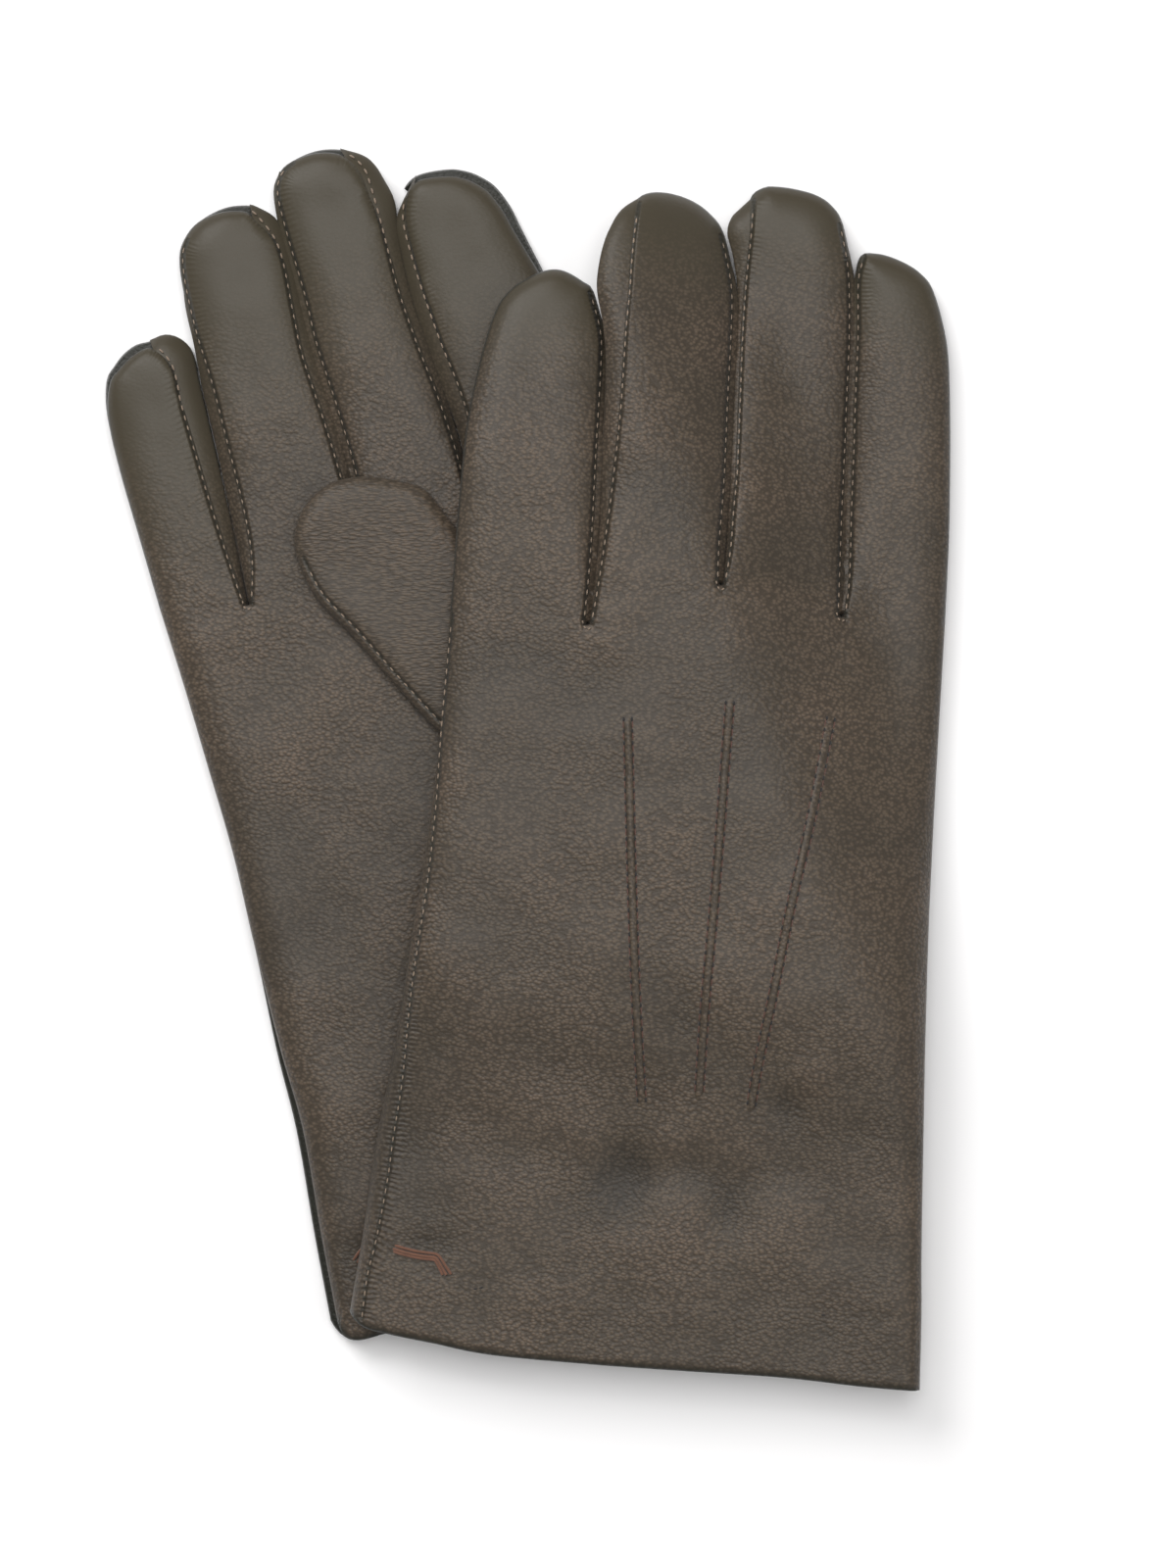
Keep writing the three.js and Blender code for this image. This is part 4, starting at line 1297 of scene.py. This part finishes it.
class GLOVES_OT_seams(bpy.types.Operator):
    """Sews the side seams and the finger seams"""
    bl_idname = "gloves.seams"
    bl_label = "Seams"

    def execute(self, context):
        ticks = [straight(*ends, 0.5) for ends in HEM_TICKS]
        hem = stitches("left_hem_stitching", ticks, top_of(LEFT), spun("prick"), pitch=1.2, length=0.85, thread=0.5,
                       sink=0.1)
        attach(hem, "left_hand")
        for glove in (RIGHT, LEFT):
            side = glove["side"]
            if side == "left":
                thread = stitches("left_side_stitching", [glove["rows"][0][1]], top_of(glove), spun("seam"),
                                  sink=0.12)
            else:
                under = faces_of(glove)
                row = offset(glove["left_line"], -UNDER_SEAM)[2:]
                thread = stitches("right_side_stitching", [row], lambda p: under(p)[1], spun("seam"), sink=-0.12)
            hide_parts(side + "_side_seam_thread")
            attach(thread, side + "_hand")
            turns = [turn_at(root) for root in glove["crotches"][1:-1]]
            thread = stitches(side + "_crotch_stitching", turns, top_of(glove), spun("seam"), pitch=1.2, sink=0.1)
            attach(thread, side + "_hand")
            for name in FINGERS:
                rows = [row for owner, row in glove["rows"] if owner == name]
                thread = stitches(side + "_" + name + "_stitching", rows, top_of(glove, name), spun("seam"),
                                  sink=0.14)
                bend(thread, glove, name)
        return {"FINISHED"}


# Width and height of a tuck, how far from its middle each row runs, and over what length it falls at its ends
TUCK_WIDE, TUCK_HIGH, TUCK_ROW, TUCK_END = 1.9, 0.5, 0.85, 3
# A point is pricked every 2.5 mm, and its thread shows between the pricks, each drawn as a near-black stitch of
# painted shade where the thread dives into its hole
PRICK_PITCH, PRICK_WIDE = 2.5, 0.62


class GLOVES_OT_points(bpy.types.Operator):
    """Raises the three points on the left glove's back, each a tuck between two rows of sewing, with near-black
    painted shade where the thread dives into its holes
    """
    bl_idname = "gloves.points"
    bl_label = "Points"

    def execute(self, context):
        top = top_of(LEFT)
        for name, path in POINTS.items():
            line = spline(path)
            outline = np.vstack([offset(line, -TUCK_WIDE / 2), offset(line, TUCK_WIDE / 2)[::-1]])

            def heights(points):
                gap, along = nearest(points, line)
                end = smooth(np.minimum(along, run_of(line)[-1] - along) / TUCK_END)
                rise = smooth(1.15 - gap / (TUCK_WIDE / 2))
                ground = top(points)
                return ground - 0.1 + (TUCK_HIGH * rise + 0.02) * end, ground - 0.5

            tuck = leather_form("left_point_" + name + "_tuck", outline, heights, nappa(), rows=[line], spacing=1.0)
            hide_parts("left_point_" + name)
            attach(tuck, "left_hand")
            rows = [offset(line, TUCK_ROW), offset(line, -TUCK_ROW)]
            prick_shades = stitches("left_point_" + name + "_pricks", rows, top, spun("prick"), pitch=PRICK_PITCH,
                              length=0.44,
                              thread=PRICK_WIDE, sink=0.04)
            between = [offset(line[1:], side * (TUCK_ROW + 0.12)) for side in (1, -1)]
            sewing = stitches("left_point_" + name + "_sewing", between, top, spun("point"), pitch=PRICK_PITCH,
                              length=0.8,
                              thread=0.36, sink=0.03)
            for piece in (prick_shades, sewing):
                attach(piece, "left_hand")
        return {"FINISHED"}


def thread_tubes(name, routes, radius, material):
    """Round threads in one piece, each along a route given in plan millimetres."""
    curve = bpy.data.curves.new(name, "CURVE")
    curve.dimensions = "3D"
    curve.bevel_depth, curve.bevel_resolution, curve.use_fill_caps = radius * MM, 2, True
    for route in routes:
        line = np.array(route, float)
        line[:, :2] += SHIFT
        strand = curve.splines.new("NURBS")
        strand.points.add(len(line) - 1)
        strand.use_endpoint_u, strand.order_u, strand.resolution_u = True, 3, 6
        for point, place in zip(strand.points, line):
            point.co = (*(place * MM), 1)
    piece = bpy.data.objects.new(name, curve)
    bpy.context.scene.collection.objects.link(piece)
    only(piece)
    bpy.ops.object.convert(target="MESH")
    piece = bpy.context.active_object
    piece.data.materials.append(material)
    piece.data.shade_smooth()
    return piece


# The tack's way over the left glove and then its end on the right one, and how far apart their strands lie
TACK_ABOVE = [(-41.4, -97.7), (-40.4, -97.9), (-37, -98.9), (-33.8, -99.4), (-32, -99.5), (-31.3, -100.6),
              (-30.6, -101.8), (-29.8, -102.9)]
TACK_BELOW = [(-46.8, -97.2), (-47.8, -98.3), (-48.8, -99.6), (-49.8, -101.0)]
STRANDS_ABOVE, STRAND_BELOW = (-0.55, 0.0, 0.55), (0.85, -0.55)


class GLOVES_OT_tack(bpy.types.Operator):
    """Tacks the pair together at the cuff with one doubled thread"""
    bl_idname = "gloves.tack"
    bl_label = "Tack"

    def execute(self, context):
        top = top_of(LEFT)
        radius = sizes().tack_thread / 2 / MM
        strands = []
        for k, shift in enumerate(STRANDS_ABOVE):
            line = offset(np.array(TACK_ABOVE), shift * (1 + 0.2 * k))
            line[-1] += (0.35 * (k - 1), -0.3 * k)
            z = top(line) + radius * (0.9 + 0.5 * (k == 1))
            z[0] -= 1.2
            strands.append(np.column_stack([line, z]))
        loop = thread_tubes("left_tack_stitch", strands, radius, spun("tack"))
        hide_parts("tack_loop")
        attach(loop, "left_hand")
        below, first = top_of(RIGHT), np.array(TACK_BELOW)
        ends = [np.column_stack([line, below(line) + radius * np.array([0.4, 0.9, 0.9, -1.0])])
                for line in (first, first + STRAND_BELOW)]
        knot = thread_tubes("tack_thread_end", ends, radius, spun("tack"))
        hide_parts("tack_knot")
        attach(knot, "tack")
        return {"FINISHED"}


# ---------------------------------------------------------------- stage

# The view's height on the table in millimetres, the camera's height in metres above the gloves' middle, and its sensor
VIEW_HIGH, CAMERA_UP, GLOVES_MIDDLE, SENSOR = 331.2, 1.1, 0.012, 36
# Each light's place and diameter in metres and its power in watts
LIGHTS = {"light_window": ((-0.6, 0.8, 1.0), 0.8, 12.6), "light_fill": ((0.9, -0.4, 1.2), 1.0, 4.7),
          "light_top": ((0.05, 0.3, 1.5), 0.9, 11.6)}
TABLE_WIDE, SKY = 6, 0.3


class GLOVES_OT_stage(bpy.types.Operator):
    """Lays a pale table, sets soft studio light and looks straight down"""
    bl_idname = "gloves.stage"
    bl_label = "Stage"

    def execute(self, context):
        centre = Vector((*(SHIFT * MM), 0))
        bpy.ops.object.select_all(action="DESELECT")
        bpy.ops.mesh.primitive_plane_add(size=TABLE_WIDE, location=(0, 0, 0))
        table = context.active_object
        table.name = "table_top"
        material, tree = blank("painted_table")
        where = add(tree, "ShaderNodeTexCoord").outputs["Object"]
        cloud = add(tree, "ShaderNodeTexNoise", {}, {"Vector": where, "Scale": 9.0, "Detail": 2.0}).outputs["Fac"]
        tint = add(tree, "ShaderNodeMix", {"data_type": "RGBA"},
                   {0: cloud, 6: shade(colours().table, 0.98), 7: shade(colours().table)}).outputs[2]
        paint = add(tree, "ShaderNodeBsdfPrincipled", {}, {"Base Color": tint, "Roughness": 0.7})
        add(tree, "ShaderNodeOutputMaterial", {}, {"Surface": paint.outputs[0]})
        table.data.materials.append(material)
        for name, (place, size, power) in LIGHTS.items():
            lamp = bpy.data.lights.new(name, "AREA")
            lamp.shape, lamp.size, lamp.energy = "DISK", size, power
            light = bpy.data.objects.new(name, lamp)
            light.location = place
            light.rotation_euler = (centre - Vector(place)).to_track_quat("-Z", "Y").to_euler()
            context.scene.collection.objects.link(light)
        world = context.scene.world or bpy.data.worlds.new("studio")
        context.scene.world = world
        world.use_nodes = True
        sky = world.node_tree.nodes["Background"]
        sky.inputs["Color"].default_value = (1, 1, 1, 1)
        sky.inputs["Strength"].default_value = SKY
        context.scene.view_settings.view_transform = "Standard"
        camera = bpy.data.cameras.new("camera")
        camera.lens = SENSOR * CAMERA_UP * 1000 / VIEW_HIGH
        camera.sensor_width = SENSOR
        eye = bpy.data.objects.new("camera", camera)
        eye.location = centre + Vector((0, 0, CAMERA_UP + GLOVES_MIDDLE))
        context.scene.collection.objects.link(eye)
        context.scene.camera = eye
        return {"FINISHED"}


class GLOVES_PT_panel(bpy.types.Panel):
    """Lists the glove's sizes and colours, and the operators that build its pieces"""
    bl_label = "Leather gloves"
    bl_idname = "GLOVES_PT_panel"
    bl_space_type = "VIEW_3D"
    bl_region_type = "UI"
    bl_category = "Gloves"

    def draw(self, context):
        for group in (context.scene.glove_sizes, context.scene.glove_colours):
            for key in group.__annotations__:
                self.layout.prop(group, key)
        for operator in OPERATORS:
            self.layout.operator(operator.bl_idname)


OPERATORS = (GLOVES_OT_hands, GLOVES_OT_fingers, GLOVES_OT_fourchettes, GLOVES_OT_back_edges, GLOVES_OT_thumbs,
             GLOVES_OT_seams, GLOVES_OT_points,
             GLOVES_OT_tack, GLOVES_OT_stage)
CLASSES = (GloveSizes, GloveColours) + OPERATORS + (GLOVES_PT_panel,)


def register():
    for cls in CLASSES:
        bpy.utils.register_class(cls)
    bpy.types.Scene.glove_sizes = PointerProperty(type=GloveSizes)
    bpy.types.Scene.glove_colours = PointerProperty(type=GloveColours)


def unregister():
    del bpy.types.Scene.glove_colours
    del bpy.types.Scene.glove_sizes
    for cls in reversed(CLASSES):
        bpy.utils.unregister_class(cls)


def main():
    register()
    for glove in (RIGHT, LEFT):
        prepare(glove)
    for operator in OPERATORS:
        group, name = operator.bl_idname.split(".")
        getattr(getattr(bpy.ops, group), name)()


if __name__ == "__main__":
    main()
